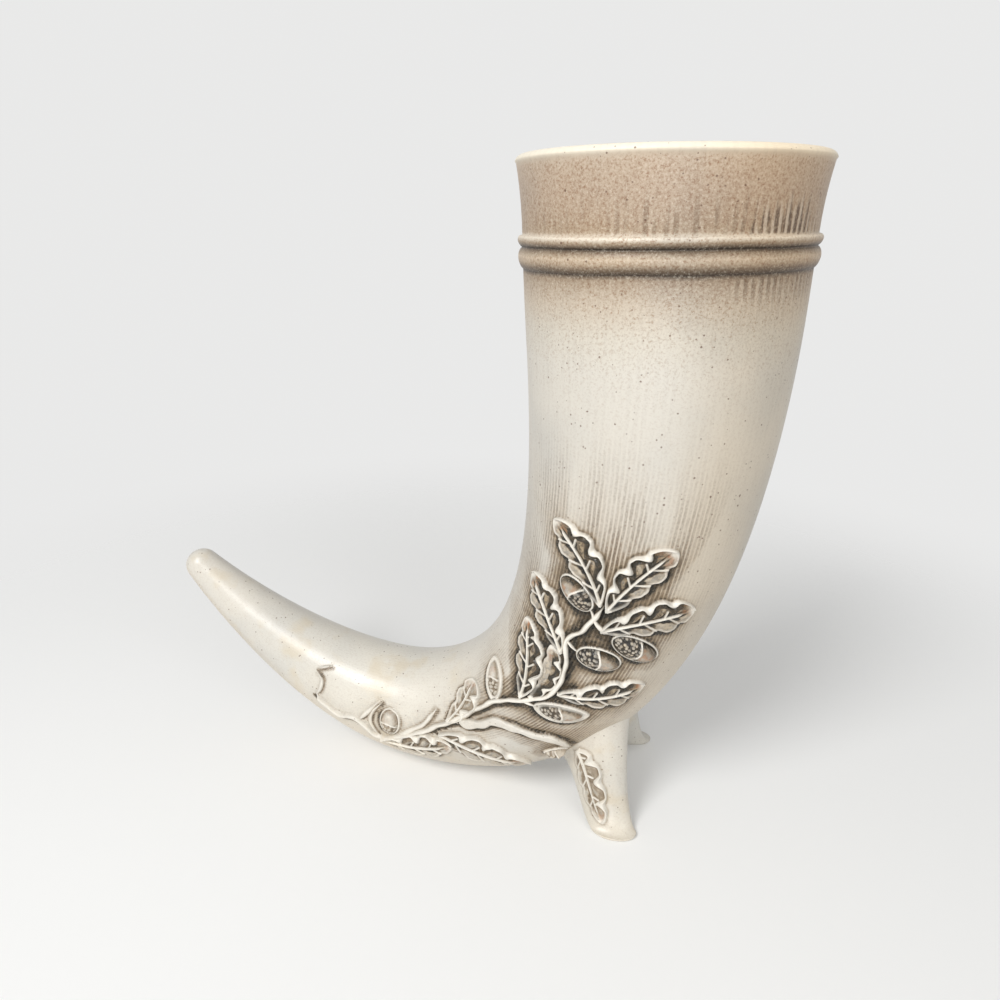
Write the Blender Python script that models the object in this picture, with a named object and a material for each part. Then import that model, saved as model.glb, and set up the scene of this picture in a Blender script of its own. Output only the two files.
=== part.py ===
"""Cornucopia vase: a hollow stoneware horn on two legs, with an oak spray laid on each side.

Metres, +Z up. The horn's axis lies in the XZ plane: its mouth opens upwards at +X, it bends forward at the
heel, rests on its belly and two feet, and its tip rises at -X. The near side faces -Y and the far side
mirrors it. The horn is turned straight and then bent. Leaves, acorns and twigs are pressed on to its skin.
"""

import math

import bmesh
import bpy
import numpy as np
from mathutils import Vector

# Horn: the stretches of its axis, from the mouth to the tip, and the turn that each one makes
NECK_LENGTH = 0.064
SHOULDER_LENGTH = 0.117
HEEL_LENGTH = 0.093
BELLY_LENGTH = 0.041
ARM_LENGTH = 0.097
SHOULDER_TURN = math.radians(24)
HEEL_TURN = math.radians(60)
BELLY_TURN = math.radians(24)
ARM_TURN = math.radians(27)

# Outer radius at the mouth and at the end of each stretch
MOUTH_RADIUS = 0.0500
NECK_RADIUS = 0.0478
SHOULDER_RADIUS = 0.0381
HEEL_RADIUS = 0.0257
BELLY_RADIUS = 0.0214
TIP_RADIUS = 0.0076

# Wall, lip, the rounded end of the cavity, and the two rolls round the neck
WALL = 0.0050
LIP_FLARE = 0.0020
FLARE_LENGTH = 0.0240
CAVITY_END_RADIUS = 0.0075
ROLL_START = 0.0246
UPPER_ROLL_WIDTH = 0.0040
LOWER_ROLL_WIDTH = 0.0069
ROLL_RISE = 0.0016

# Legs: where they spring from the horn, the flare that meets it, and the feet
LEG_INTO_HEEL = 0.032
LEG_ROOT_ANGLE = math.radians(-61)
LEG_ROOT_LENGTH = 0.029
LEG_ROOT_WIDTH = 0.023
LEG_FLARE_RISE = 0.0030
LEG_FLARE_SHARE = 0.76
LEG_KNEE_SHARE = 0.42
FOOT_FORWARD = 0.0105
FOOT_OUTWARD = 0.0150
FOOT_LENGTH = 0.0190
FOOT_WIDTH = 0.0115
FOOT_EDGE = 0.0012

# Gap that each applied piece keeps to what it is luted to
SLIP_GAP = 0.0003

# Relief above the horn's skin
LEAF_RIM = 0.0017
LEAF_HOLLOW = 0.0008
LEAF_RIB = 0.0022
BLADE_LEAN = 1.3
BLADE_FULLNESS = 0.65
LOBE_DEPTH = 0.38
LEAF_TIP_WIDTH = 0.0012
ACORN_RISE = 0.0044
ACORN_CUP_SHARE = 0.46
ACORN_NUT_SHARE = 0.84
TWIG_WIDTH = 0.0021
TWIG_RISE = 0.0015
THIN_EDGE = 0.0004

# Leaves of one spray: stalk and tip on the horn's skin, width, and lobes a side. A place on the skin is
# (along, around): along from the legs towards the tip, around from the side line towards the inner bend.
LEAVES = {
    "crown_leaf": ((-0.0625, 0.0050), (-0.0890, 0.0280), 0.0150, 4),
    "brow_leaf": ((-0.0640, -0.0010), (-0.0900, -0.0190), 0.0160, 4),
    "back_leaf": ((-0.0545, -0.0035), (-0.0680, -0.0330), 0.0160, 4),
    "throat_leaf": ((-0.0380, 0.0110), (-0.0600, 0.0335), 0.0135, 4),
    "inner_leaf": ((-0.0045, 0.0125), (-0.0360, 0.0310), 0.0145, 4),
    "tucked_leaf": ((-0.0175, 0.0050), (-0.0350, 0.0150), 0.0080, 3),
    "heel_leaf": ((-0.0165, -0.0020), (-0.0350, -0.0270), 0.0135, 4),
    "under_leaf": ((0.0760, -0.0110), (0.0450, -0.0080), 0.0120, 3),
    "belly_leaf": ((0.0425, -0.0100), (0.0190, -0.0290), 0.0130, 4),
    "arm_leaf": ((0.0590, 0.0075), (0.0250, 0.0215), 0.0120, 3),
}

# Acorns of one spray: stalk end and nut tip on the skin, and width
ACORNS = {
    "crown_acorn": ((-0.0590, 0.0095), (-0.0655, 0.0222), 0.0088),
    "heart_acorn": ((-0.0400, 0.0040), (-0.0395, -0.0130), 0.0098),
    "back_acorn": ((-0.0515, -0.0072), (-0.0465, -0.0260), 0.0096),
    "heel_acorn": ((-0.0050, -0.0035), (-0.0125, -0.0165), 0.0090),
    "inner_acorn": ((0.0165, 0.0165), (0.0050, 0.0300), 0.0085),
    "arm_acorn": ((0.0800, 0.0030), (0.0720, 0.0130), 0.0090),
    "heel_bud": ((0.0130, -0.0200), (0.0060, -0.0245), 0.0052),
}

# Twigs of one spray: the places that each one runs through
TWIGS = {
    "main_twig": (
        (0.1220, -0.0110),
        (0.1020, -0.0060),
        (0.0900, -0.0030),
        (0.0790, -0.0055),
        (0.0620, 0.0010),
        (0.0400, 0.0060),
        (0.0250, 0.0110),
        (0.0120, 0.0110),
        (0.0000, 0.0085),
        (-0.0135, 0.0015),
        (-0.0270, 0.0030),
        (-0.0400, 0.0075),
        (-0.0500, 0.0030),
        (-0.0600, 0.0020),
    ),
    "leg_twig": (
        (0.0260, 0.0060),
        (0.0150, 0.0010),
        (0.0060, -0.0080),
        (0.0010, -0.0170),
    ),
}

# The leaf laid down each leg: stalk and tip as shares of the leg's height, its width and lobes a side
LEG_LEAF = (0.18, 0.84, 0.0105, 3)

# Facets
SEGMENTS_AROUND = 32
LONGEST_RING_STEP = 0.016
LARGEST_RING_TURN = math.radians(6)
CAVITY_RING_STEP = 0.020
COLUMNS_ACROSS = 4
ROWS_PER_LOBE = 3
ACORN_ROWS = 6
TWIG_ROW_STEP = 0.0055
LEG_SEGMENTS = 20
LEG_RINGS = 7

# Glazes: base colour, roughness
GLAZES = {
    "horn_glaze": ((0.62, 0.56, 0.47, 1.0), 0.42),
    "leg_glaze": ((0.66, 0.61, 0.53, 1.0), 0.42),
    "leaf_glaze": ((0.40, 0.34, 0.26, 1.0), 0.35),
    "acorn_glaze": ((0.33, 0.26, 0.18, 1.0), 0.32),
    "twig_glaze": ((0.55, 0.49, 0.40, 1.0), 0.38),
}

KNOTS = np.cumsum([0.0, NECK_LENGTH, SHOULDER_LENGTH, HEEL_LENGTH, BELLY_LENGTH, ARM_LENGTH])
HEADINGS = np.cumsum([0.0, 0.0, SHOULDER_TURN, HEEL_TURN, BELLY_TURN, ARM_TURN])
RADII = np.array([MOUTH_RADIUS, NECK_RADIUS, SHOULDER_RADIUS, HEEL_RADIUS, BELLY_RADIUS, TIP_RADIUS])
LEG_STATION = NECK_LENGTH + SHOULDER_LENGTH + LEG_INTO_HEEL
AXIS_STEP = 0.0005


def smooth_through(knots, values, place):
    """The value at a place on a smooth line through the values at the knots."""
    slopes = np.diff(values) / np.diff(knots)
    at_knots = np.concatenate([slopes[:1], (slopes[1:] + slopes[:-1]) / 2, slopes[-1:]])
    i = np.clip(np.searchsorted(knots, place, side="right") - 1, 0, len(knots) - 2)
    span = knots[i + 1] - knots[i]
    t = (place - knots[i]) / span
    start = (1 + 2 * t) * (1 - t) ** 2 * values[i] + t * (1 - t) ** 2 * span * at_knots[i]
    end = t * t * (3 - 2 * t) * values[i + 1] - t * t * (1 - t) * span * at_knots[i + 1]
    return start + end


def horn_axis():
    """The axis by distance from the mouth, set so that the lowest point of the skin is on the floor.

    Returns the distances, x, z, heading from straight down, bend, and outer radius.
    """
    along = np.linspace(0, KNOTS[-1], round(KNOTS[-1] / AXIS_STEP) + 1)
    heading = smooth_through(KNOTS, HEADINGS, along)
    radius = smooth_through(KNOTS, RADII, along)
    middle = (heading[1:] + heading[:-1]) / 2
    step = np.diff(along)
    x = np.concatenate([[0.0], np.cumsum(-np.sin(middle) * step)])
    z = np.concatenate([[0.0], np.cumsum(-np.cos(middle) * step)])
    underside = z - radius * np.sin(heading)
    return along, x, z - underside.min(), heading, np.gradient(heading, along), radius, along[underside.argmin()]


ALONG, AXIS_X, AXIS_Z, HEADING, BEND, RADIUS, BELLY_STATION = horn_axis()


def at(along, values):
    """The axis's value at a distance from the mouth."""
    return float(np.interp(along, ALONG, values))


def horn_point(along, angle, radius):
    """The point off the axis at an angle: 0 is the near side, 90 degrees the inner bend."""
    heading = at(along, HEADING)
    past_end = along - min(max(along, ALONG[0]), ALONG[-1])
    inwards = radius * math.sin(angle)
    x = at(along, AXIS_X) - math.sin(heading) * past_end - math.cos(heading) * inwards
    z = at(along, AXIS_Z) - math.cos(heading) * past_end + math.sin(heading) * inwards
    return Vector((x, -radius * math.cos(angle), z))


def on_horn(place, height):
    """The point at a height above the horn's skin, for a place (along, around) counted from the legs."""
    along = LEG_STATION + place[0]
    radius = at(along, RADIUS)
    return horn_point(along, place[1] / radius, radius + height)


def across_on_horn(place, direction):
    """The step on the skin, in (along, around), that is 1 m square to a direction there."""
    along = LEG_STATION + place[0]
    radius = at(along, RADIUS)
    stretch = 1 - at(along, BEND) * radius * math.sin(place[1] / radius)
    forward = Vector((direction[0] * stretch, direction[1])).normalized()
    return Vector((-forward.y / stretch, forward.x))


def flare(along):
    """How far the lip spreads beyond the horn's even taper."""
    return LIP_FLARE * max(0.0, 1 - along / FLARE_LENGTH) ** 2


def wall_radius(along):
    """Outer radius of the horn without its rolls."""
    return at(along, RADIUS) + flare(along)


def lip_points():
    """The round lip in profile, from the cavity's side to the outer side."""
    rounding = WALL / 2
    middle = wall_radius(0.0) - rounding
    turns = [math.pi * i / 8 for i in range(1, 8)]
    return [(rounding * (1 - math.sin(a)), middle - rounding * math.cos(a)) for a in turns]


def roll_points():
    """The neck between the lip and the shoulder in profile: a plain flare, then the two rolls."""
    points = [(along, wall_radius(along)) for along in np.linspace(WALL, ROLL_START, 4)[:-1]]
    start = ROLL_START
    for width in (UPPER_ROLL_WIDTH, LOWER_ROLL_WIDTH):
        for share, rise in ((0.0, 0.0), (0.14, 0.75), (0.42, 1.0), (0.72, 0.85), (0.93, 0.35)):
            along = start + share * width
            points.append((along, wall_radius(along) + rise * ROLL_RISE))
        start += width
    return points + [(start, wall_radius(start))]


def ring_stations():
    """Distances from the mouth of the rings below the rolls, closer together where the horn bends."""
    stations = [BELLY_STATION]
    starts = [ROLL_START + UPPER_ROLL_WIDTH + LOWER_ROLL_WIDTH, *KNOTS[1:-1]]
    for start, end, turn in zip(starts, KNOTS[1:], np.diff(HEADINGS)):
        rings = math.ceil(max((end - start) / LONGEST_RING_STEP, turn / LARGEST_RING_TURN))
        stations += [start + (end - start) * (i + 1) / rings for i in range(rings)]
    return sorted(stations)


def round_end(along, radius, lean):
    """A round end in profile that carries on from a wall leaning in by an angle."""
    ball = radius / math.cos(lean)
    turns = [lean + (math.pi / 2 - lean) * (i + 1) / 4 for i in range(4)]
    return [(along + ball * (math.sin(a) - math.sin(lean)), ball * math.cos(a)) for a in turns]


def taper_lean(along):
    return math.atan((at(along - 2 * AXIS_STEP, RADIUS) - at(along, RADIUS)) / (2 * AXIS_STEP))


def horn_profile():
    """The wall's whole outline, (distance from the mouth, radius), from the cavity's end to the tip."""
    cavity_end = float(np.interp(-(WALL + CAVITY_END_RADIUS), -RADIUS, ALONG))
    rings = round(cavity_end / CAVITY_RING_STEP)
    stations = np.linspace(WALL / 2, cavity_end, rings + 1)
    cavity = [(along, wall_radius(along) - WALL) for along in stations]
    cavity += round_end(cavity_end, CAVITY_END_RADIUS, taper_lean(cavity_end))
    outside = [(along, wall_radius(along)) for along in ring_stations()]
    tip = round_end(KNOTS[-1], TIP_RADIUS, taper_lean(KNOTS[-1]))
    return cavity[::-1] + lip_points() + roll_points() + outside + tip


def finished(name, shape, material):
    """A shaded object made from a bmesh, whose faces are turned outwards."""
    bmesh.ops.recalc_face_normals(shape, faces=shape.faces)
    if shape.calc_volume(signed=True) < 0:
        bmesh.ops.reverse_faces(shape, faces=shape.faces)
    mesh = bpy.data.meshes.new(name)
    shape.to_mesh(mesh)
    shape.free()
    mesh.shade_smooth()
    mesh.set_sharp_from_angle(angle=math.radians(40))
    mesh.materials.append(bpy.data.materials[material])
    piece = bpy.data.objects.new(name, mesh)
    bpy.context.scene.collection.objects.link(piece)
    return piece


def horn_body():
    """The horn's shell, spun straight from its profile and then bent along the axis."""
    shape = bmesh.new()
    outline = [shape.verts.new((radius, 0.0, -along)) for along, radius in horn_profile()]
    edges = [shape.edges.new(pair) for pair in zip(outline, outline[1:])]
    bmesh.ops.spin(
        shape,
        geom=outline + edges,
        cent=(0, 0, 0),
        axis=(0, 0, 1),
        angle=2 * math.pi,
        steps=SEGMENTS_AROUND,
        use_merge=True,
    )
    bmesh.ops.remove_doubles(shape, verts=shape.verts, dist=1e-6)
    for vert in shape.verts:
        x, y, z = vert.co
        vert.co = horn_point(-z, math.atan2(y, x), math.hypot(x, y))
    return finished("horn_body", shape, "horn_glaze")


LEG_ROOT = (0.0, at(LEG_STATION, RADIUS) * LEG_ROOT_ANGLE)
FOOT_CENTRE = on_horn(LEG_ROOT, 0.0) + Vector((FOOT_FORWARD, -FOOT_OUTWARD, 0.0))


def leg_root_point(turn, share, height):
    """A point over the leg's root on the horn's skin. The share is 0 at the middle and 1 at the rim."""
    along = LEG_ROOT[0] - share * LEG_ROOT_LENGTH / 2 * math.cos(turn)
    around = LEG_ROOT[1] - share * LEG_ROOT_WIDTH / 2 * math.sin(turn)
    return on_horn((along, around), height)


def foot_point(turn, inset, height):
    """A point on the foot's oval outline, drawn in by an inset."""
    x = FOOT_CENTRE.x + (FOOT_LENGTH / 2 - inset) * math.cos(turn)
    y = FOOT_CENTRE.y + (FOOT_WIDTH / 2 - inset) * math.sin(turn)
    return Vector((x, y, height))


def leg_skin(share, turn):
    """A point on the leg's side, from the flare at its root, share 0, to the foot, share 1."""
    root = leg_root_point(turn, 1.0, SLIP_GAP)
    flared = leg_root_point(turn, LEG_FLARE_SHARE, LEG_FLARE_RISE)
    foot = foot_point(turn, 0.0, FOOT_EDGE)
    middle = on_horn(LEG_ROOT, 0.0).lerp(FOOT_CENTRE, LEG_KNEE_SHARE)
    knee = foot + middle - FOOT_CENTRE
    near_end = root * (1 - share) ** 3 + flared * 3 * share * (1 - share) ** 2
    return near_end + knee * 3 * share**2 * (1 - share) + foot * share**3


def leg(name):
    """A near leg: rings from the middle of its root, out over the flare, and down to the flat foot."""
    turns = [2 * math.pi * i / LEG_SEGMENTS for i in range(LEG_SEGMENTS)]
    rings = [[leg_root_point(turn, share, SLIP_GAP) for turn in turns] for share in (0.3, 0.65)]
    rings += [[leg_skin(i / LEG_RINGS, turn) for turn in turns] for i in range(LEG_RINGS + 1)]
    rings += [[foot_point(turn, FOOT_EDGE, 0.0) for turn in turns]]
    shape = bmesh.new()
    loops = []
    for ring in rings:
        verts = [shape.verts.new(point) for point in ring]
        loops.append([shape.edges.new((verts[i - 1], verts[i])) for i in range(LEG_SEGMENTS)])
    for upper, lower in zip(loops, loops[1:]):
        bmesh.ops.bridge_loops(shape, edges=upper + lower)
    bmesh.ops.holes_fill(shape, edges=loops[0] + loops[-1])
    return finished(name, shape, "leg_glaze")


def on_leg(place, height):
    """The point above the leg's outer face, for a place (share of its height, metres around)."""
    share = place[0]
    turn = -math.pi / 2 + place[1] / (FOOT_LENGTH / 2)
    nudge = 0.01
    down = leg_skin(share + nudge, turn) - leg_skin(share - nudge, turn)
    sideways = leg_skin(share, turn + nudge) - leg_skin(share, turn - nudge)
    return leg_skin(share, turn) + sideways.cross(down).normalized() * -(SLIP_GAP + height)


def across_on_leg(_place, _direction):
    """A leaf lies straight down the leg, so its width runs around it."""
    return Vector((0.0, 1.0))


def press(name, material, points, rows, half_width, rise, surface=on_horn, across=across_on_horn):
    """A clay sprig pressed on a surface along a line through some points.

    half_width(share) is half its width at a share of its length. rise(share, side) is its thickness there,
    where side runs from -1 to 1 across it.
    """
    places = np.array(points)
    steps = np.linalg.norm(np.diff(places, axis=0), axis=1)
    knots = np.concatenate([[0.0], np.cumsum(steps)]) / steps.sum()

    def line(share):
        return Vector([float(smooth_through(knots, places[:, i], share)) for i in (0, 1)])

    shape = bmesh.new()
    bmesh.ops.create_grid(shape, x_segments=rows, y_segments=COLUMNS_ACROSS, size=1.0)
    raised = bmesh.ops.extrude_face_region(shape, geom=shape.faces[:])["geom"]
    front = {item for item in raised if isinstance(item, bmesh.types.BMVert)}
    for vert in shape.verts:
        share = (vert.co.x + 1) / 2
        side = vert.co.y
        here = line(share)
        direction = line(min(share + 0.01, 1.0)) - line(max(share - 0.01, 0.0))
        place = here + across(here, direction) * side * half_width(share)
        thickness = rise(share, side) if vert in front else 0.0
        vert.co = surface(place, SLIP_GAP + thickness)
    return finished(name, shape, material)


def leaf(name, stalk, tip, width, lobes, **where):
    """An oak leaf: lobed sides, a raised rim, hollows, and a rib down its middle."""

    def half_width(share):
        blade = math.sin(math.pi * share**BLADE_LEAN) ** BLADE_FULLNESS if 0 < share < 1 else 0.0
        sinus = (1 + math.cos(2 * math.pi * lobes * share)) / 2
        return max(width / 2 * blade * (1 - LOBE_DEPTH * sinus), LEAF_TIP_WIDTH / 2)

    def rise(share, side):
        section = float(np.interp(abs(side), (0, 0.5, 1), (LEAF_RIB, LEAF_HOLLOW, LEAF_RIM)))
        fullness = min(1.0, 1.6 * math.sin(math.pi * share))
        return LEAF_RIM + (section - LEAF_RIM) * fullness

    return press(name, "leaf_glaze", (stalk, tip), lobes * ROWS_PER_LOBE, half_width, rise, **where)


def acorn(name, stalk, tip, width):
    """An acorn lying on its side: a round cup, then a narrower nut that draws in to its tip."""

    def fullness(share):
        if share < ACORN_CUP_SHARE:
            return math.sqrt(max(0.0, 1 - (1 - share / ACORN_CUP_SHARE) ** 2))
        return ACORN_NUT_SHARE * math.sqrt(max(0.0, 1 - ((share - ACORN_CUP_SHARE) / (1 - ACORN_CUP_SHARE)) ** 2))

    def half_width(share):
        return max(width / 2 * fullness(share), THIN_EDGE)

    def rise(share, side):
        return THIN_EDGE + ACORN_RISE * fullness(share) * math.sqrt(max(0.0, 1 - side * side))

    return press(name, "acorn_glaze", (stalk, tip), ACORN_ROWS, half_width, rise)


def twig(name, points):
    """A twig: a half-round strip through its points, thinner towards its far end."""
    length = np.linalg.norm(np.diff(points, axis=0), axis=1).sum()

    def half_width(share):
        return TWIG_WIDTH / 2 * (1 - 0.2 * share)

    def rise(_share, side):
        return THIN_EDGE + TWIG_RISE * math.sqrt(max(0.0, 1 - side * side))

    return press(name, "twig_glaze", points, math.ceil(length / TWIG_ROW_STEP), half_width, rise)


def leg_leaf(name):
    """The leaf that lies down a leg's outer face."""
    start, end, width, lobes = LEG_LEAF
    return leaf(name, (start, 0.0), (end, 0.0), width, lobes, surface=on_leg, across=across_on_leg)


def far_copy(piece):
    """The far side's piece, mirrored from the near one across the horn's plane."""
    shape = bmesh.new()
    shape.from_mesh(piece.data)
    for vert in shape.verts:
        vert.co.y = -vert.co.y
    return finished(piece.name.replace("near_", "far_"), shape, piece.data.materials[0].name)


def glazes():
    for name, (colour, roughness) in GLAZES.items():
        material = bpy.data.materials.new(name)
        material.use_nodes = True
        shader = material.node_tree.nodes["Principled BSDF"]
        shader.inputs["Base Color"].default_value = colour
        shader.inputs["Roughness"].default_value = roughness
        shader.inputs["Metallic"].default_value = 0.0


def build():
    for item in list(bpy.data.objects):
        bpy.data.objects.remove(item)
    glazes()
    horn = horn_body()
    near = [leg("near_leg"), leg_leaf("near_leg_leaf")]
    near += [leaf("near_" + name, *sizes) for name, sizes in LEAVES.items()]
    near += [acorn("near_" + name, *sizes) for name, sizes in ACORNS.items()]
    near += [twig("near_" + name, points) for name, points in TWIGS.items()]
    far = [far_copy(piece) for piece in near]
    xs = [vert.co.x for vert in horn.data.vertices]
    vase = bpy.data.objects.new("vase", None)
    bpy.context.scene.collection.objects.link(vase)
    vase.location.x = -(min(xs) + max(xs)) / 2
    for piece in [horn, *near, *far]:
        piece.parent = vase


build()
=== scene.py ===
"""Cornucopia vase: its glazed stoneware horn, legs and oak spray in relief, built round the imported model."""

import math

import bmesh
import bpy
import numpy as np
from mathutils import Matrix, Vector
from mathutils.kdtree import KDTree


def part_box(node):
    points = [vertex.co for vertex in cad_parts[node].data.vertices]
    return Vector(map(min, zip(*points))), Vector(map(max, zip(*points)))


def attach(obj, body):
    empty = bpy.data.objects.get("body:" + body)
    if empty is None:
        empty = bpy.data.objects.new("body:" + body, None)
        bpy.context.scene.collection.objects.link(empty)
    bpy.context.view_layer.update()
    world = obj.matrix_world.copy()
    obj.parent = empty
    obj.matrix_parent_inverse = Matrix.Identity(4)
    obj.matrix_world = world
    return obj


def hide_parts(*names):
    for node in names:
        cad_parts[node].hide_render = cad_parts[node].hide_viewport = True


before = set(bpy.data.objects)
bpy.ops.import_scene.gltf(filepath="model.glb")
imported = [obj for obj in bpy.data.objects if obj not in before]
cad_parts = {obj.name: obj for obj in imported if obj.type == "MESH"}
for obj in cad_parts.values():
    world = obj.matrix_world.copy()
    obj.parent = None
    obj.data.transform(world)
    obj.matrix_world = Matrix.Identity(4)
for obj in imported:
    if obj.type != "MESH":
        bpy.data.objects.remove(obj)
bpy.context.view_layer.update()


# The horn: a hollow stoneware shell, cast thick in the shape of a drinking horn, with a round lip and two
# rolls round its neck. It is made straight here and then bent along its axis, so that each place on its skin
# has a distance along it and a turn round it, which the combed grooves and the sprigs follow.
NECK_LENGTH = 0.064
SHOULDER_LENGTH = 0.117
HEEL_LENGTH = 0.093
BELLY_LENGTH = 0.041
ARM_LENGTH = 0.097
TURNS = [0.0, 0.0, math.radians(24), math.radians(60), math.radians(24), math.radians(27)]
RADII = np.array([0.0500, 0.0478, 0.0381, 0.0257, 0.0214, 0.0076])
AXIS_STEP = 0.0005
WALL = 0.0050
LIP_FLARE = 0.0020
FLARE_LENGTH = 0.0240
CAVITY_END_RADIUS = 0.0075
ROLL_START = 0.0246
UPPER_ROLL_WIDTH = 0.0040
LOWER_ROLL_WIDTH = 0.0069
ROLL_RISE = 0.0016
ROLL_FULLNESS = 0.62
UPPER_ROLL_LEAN = 0.72
LOWER_ROLL_LEAN = 0.85
SEGMENTS_AROUND = 240
LIP_RING_STEP = 0.0016
ROLL_RING_STEP = 0.00033
RING_GAP = 0.0004
SHOULDER_RING_STEP = 0.0019
SHOULDER_RINGS_END = 0.110
SPRAY_RINGS = (0.111, 0.345, 0.00115)
ARM_RINGS_START = 0.346
ARM_RING_STEP = 0.0018

_, horn_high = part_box("horn_body")


def smooth_through(knots, values, place):
    """The value at a place on a smooth line through the values at the knots."""
    slopes = np.diff(values) / np.diff(knots)
    at_knots = np.concatenate([slopes[:1], (slopes[1:] + slopes[:-1]) / 2, slopes[-1:]])
    i = np.clip(np.searchsorted(knots, place, side="right") - 1, 0, len(knots) - 2)
    span = knots[i + 1] - knots[i]
    t = (place - knots[i]) / span
    start = (1 + 2 * t) * (1 - t) ** 2 * values[i] + t * (1 - t) ** 2 * span * at_knots[i]
    end = t * t * (3 - 2 * t) * values[i + 1] - t * t * (1 - t) * span * at_knots[i + 1]
    return start + end


knots = np.cumsum([0.0, NECK_LENGTH, SHOULDER_LENGTH, HEEL_LENGTH, BELLY_LENGTH, ARM_LENGTH])
axis_along = np.linspace(0, knots[-1], round(knots[-1] / AXIS_STEP) + 1)
axis_heading = smooth_through(knots, np.cumsum(TURNS), axis_along)
axis_radius = smooth_through(knots, RADII, axis_along)
axis_bend = np.gradient(axis_heading, axis_along)
step_heading = (axis_heading[1:] + axis_heading[:-1]) / 2
mouth_x = horn_high.x - horn_high.y
axis_x = mouth_x - np.concatenate([[0.0], np.cumsum(np.sin(step_heading) * AXIS_STEP)])
axis_z = horn_high.z - np.concatenate([[0.0], np.cumsum(np.cos(step_heading) * AXIS_STEP)])


def bent(thrown):
    """Places on the straight horn, (x, y, -along), moved to where they lie on the bent one."""
    along = -thrown[..., 2]
    heading = np.interp(along, axis_along, axis_heading)
    past_end = along - np.clip(along, axis_along[0], axis_along[-1])
    x = np.interp(along, axis_along, axis_x) - np.sin(heading) * past_end - np.cos(heading) * thrown[..., 1]
    z = np.interp(along, axis_along, axis_z) - np.cos(heading) * past_end + np.sin(heading) * thrown[..., 1]
    return np.stack([x, -thrown[..., 0], z], axis=-1)


def wall_radius(along):
    """The wall's outer radius, with the flare at the lip and without the rolls."""
    flare = LIP_FLARE * np.maximum(0.0, 1 - along / FLARE_LENGTH) ** 2
    return np.interp(along, axis_along, axis_radius) + flare


def round_end(along, radius, lean, steps):
    """A round end in profile that carries on from a wall leaning in by an angle."""
    ball = radius / math.cos(lean)
    turns = lean + (math.pi / 2 - lean) * np.arange(1, steps + 1) / steps
    return np.stack([along + ball * (np.sin(turns) - math.sin(lean)), ball * np.cos(turns)], axis=1)


def taper_lean(along):
    """The angle at which the wall leans in."""
    before, after = np.interp([along - 2 * AXIS_STEP, along], axis_along, axis_radius)
    return math.atan((before - after) / (2 * AXIS_STEP))


def roll_shape(share, lean):
    """How far a roll has risen at a share of its width, from 0 to 1. The lean sets its top to one side."""
    return np.maximum(np.sin(math.pi * share**lean), 0) ** ROLL_FULLNESS


def horn_profile():
    """The wall's whole outline, (distance from the mouth, radius), from the cavity's end to the tip."""
    cavity_end = float(np.interp(-(WALL + CAVITY_END_RADIUS), -axis_radius, axis_along))
    stations = np.linspace(WALL / 2, cavity_end, 28)
    cavity = np.stack([stations, wall_radius(stations) - WALL], axis=1)
    cavity_cap = round_end(cavity_end, CAVITY_END_RADIUS, taper_lean(cavity_end), 8)
    turns = math.pi * np.arange(1, 16) / 16
    middle = wall_radius(0.0) - WALL / 2
    lip = np.stack([WALL / 2 * (1 - np.sin(turns)), middle - WALL / 2 * np.cos(turns)], axis=1)
    rolls_end = ROLL_START + UPPER_ROLL_WIDTH + LOWER_ROLL_WIDTH
    stations = np.concatenate([
        np.arange(WALL / 2, ROLL_START - RING_GAP, LIP_RING_STEP),
        np.arange(ROLL_START, rolls_end, ROLL_RING_STEP),
        np.arange(rolls_end + RING_GAP, SHOULDER_RINGS_END, SHOULDER_RING_STEP),
        np.arange(*SPRAY_RINGS),
        np.arange(ARM_RINGS_START, knots[-1], ARM_RING_STEP),
        knots[-1:],
    ])
    upper = np.clip((stations - ROLL_START) / UPPER_ROLL_WIDTH, 0, 1)
    lower = np.clip((stations - ROLL_START - UPPER_ROLL_WIDTH) / LOWER_ROLL_WIDTH, 0, 1)
    roll = roll_shape(upper, UPPER_ROLL_LEAN) + roll_shape(lower, LOWER_ROLL_LEAN)
    outside = np.stack([stations, wall_radius(stations) + ROLL_RISE * roll], axis=1)
    tip = round_end(knots[-1], RADII[-1], taper_lean(knots[-1]), 12)
    return np.concatenate([cavity_cap[::-1], cavity[::-1], lip, outside, tip])


def spun_horn():
    """The straight horn as a bmesh."""
    shape = bmesh.new()
    outline = [shape.verts.new((radius, 0.0, -along)) for along, radius in horn_profile()]
    edges = [shape.edges.new(pair) for pair in zip(outline, outline[1:])]
    bmesh.ops.spin(
        shape,
        geom=outline + edges,
        cent=(0, 0, 0),
        axis=(0, 0, 1),
        angle=2 * math.pi,
        steps=SEGMENTS_AROUND,
        use_merge=True,
    )
    bmesh.ops.remove_doubles(shape, verts=shape.verts, dist=1e-6)
    return shape


def add(tree, kind, inputs=None, **settings):
    """A shader node with its settings. Each input is linked if it is given a socket, and set otherwise."""
    made = tree.nodes.new("ShaderNode" + kind)
    for name, value in settings.items():
        setattr(made, name, value)
    for place, value in (inputs or {}).items():
        if isinstance(value, bpy.types.NodeSocket):
            tree.links.new(value, made.inputs[place])
        else:
            made.inputs[place].default_value = value
    return made


def sums(tree, operation, first, second=0.0):
    """A sum of any kind, worked out by a Math node."""
    return add(tree, "Math", {0: first, 1: second}, operation=operation).outputs[0]


def product(tree, *factors):
    """Some values multiplied together."""
    value = factors[0]
    for factor in factors[1:]:
        value = sums(tree, "MULTIPLY", value, factor)
    return value


def mixed(tree, factor, first, second, mode="MIX"):
    """The colour between two colours."""
    return add(tree, "Mix", {0: factor, 6: first, 7: second}, data_type="RGBA", blend_type=mode).outputs[2]


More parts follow.
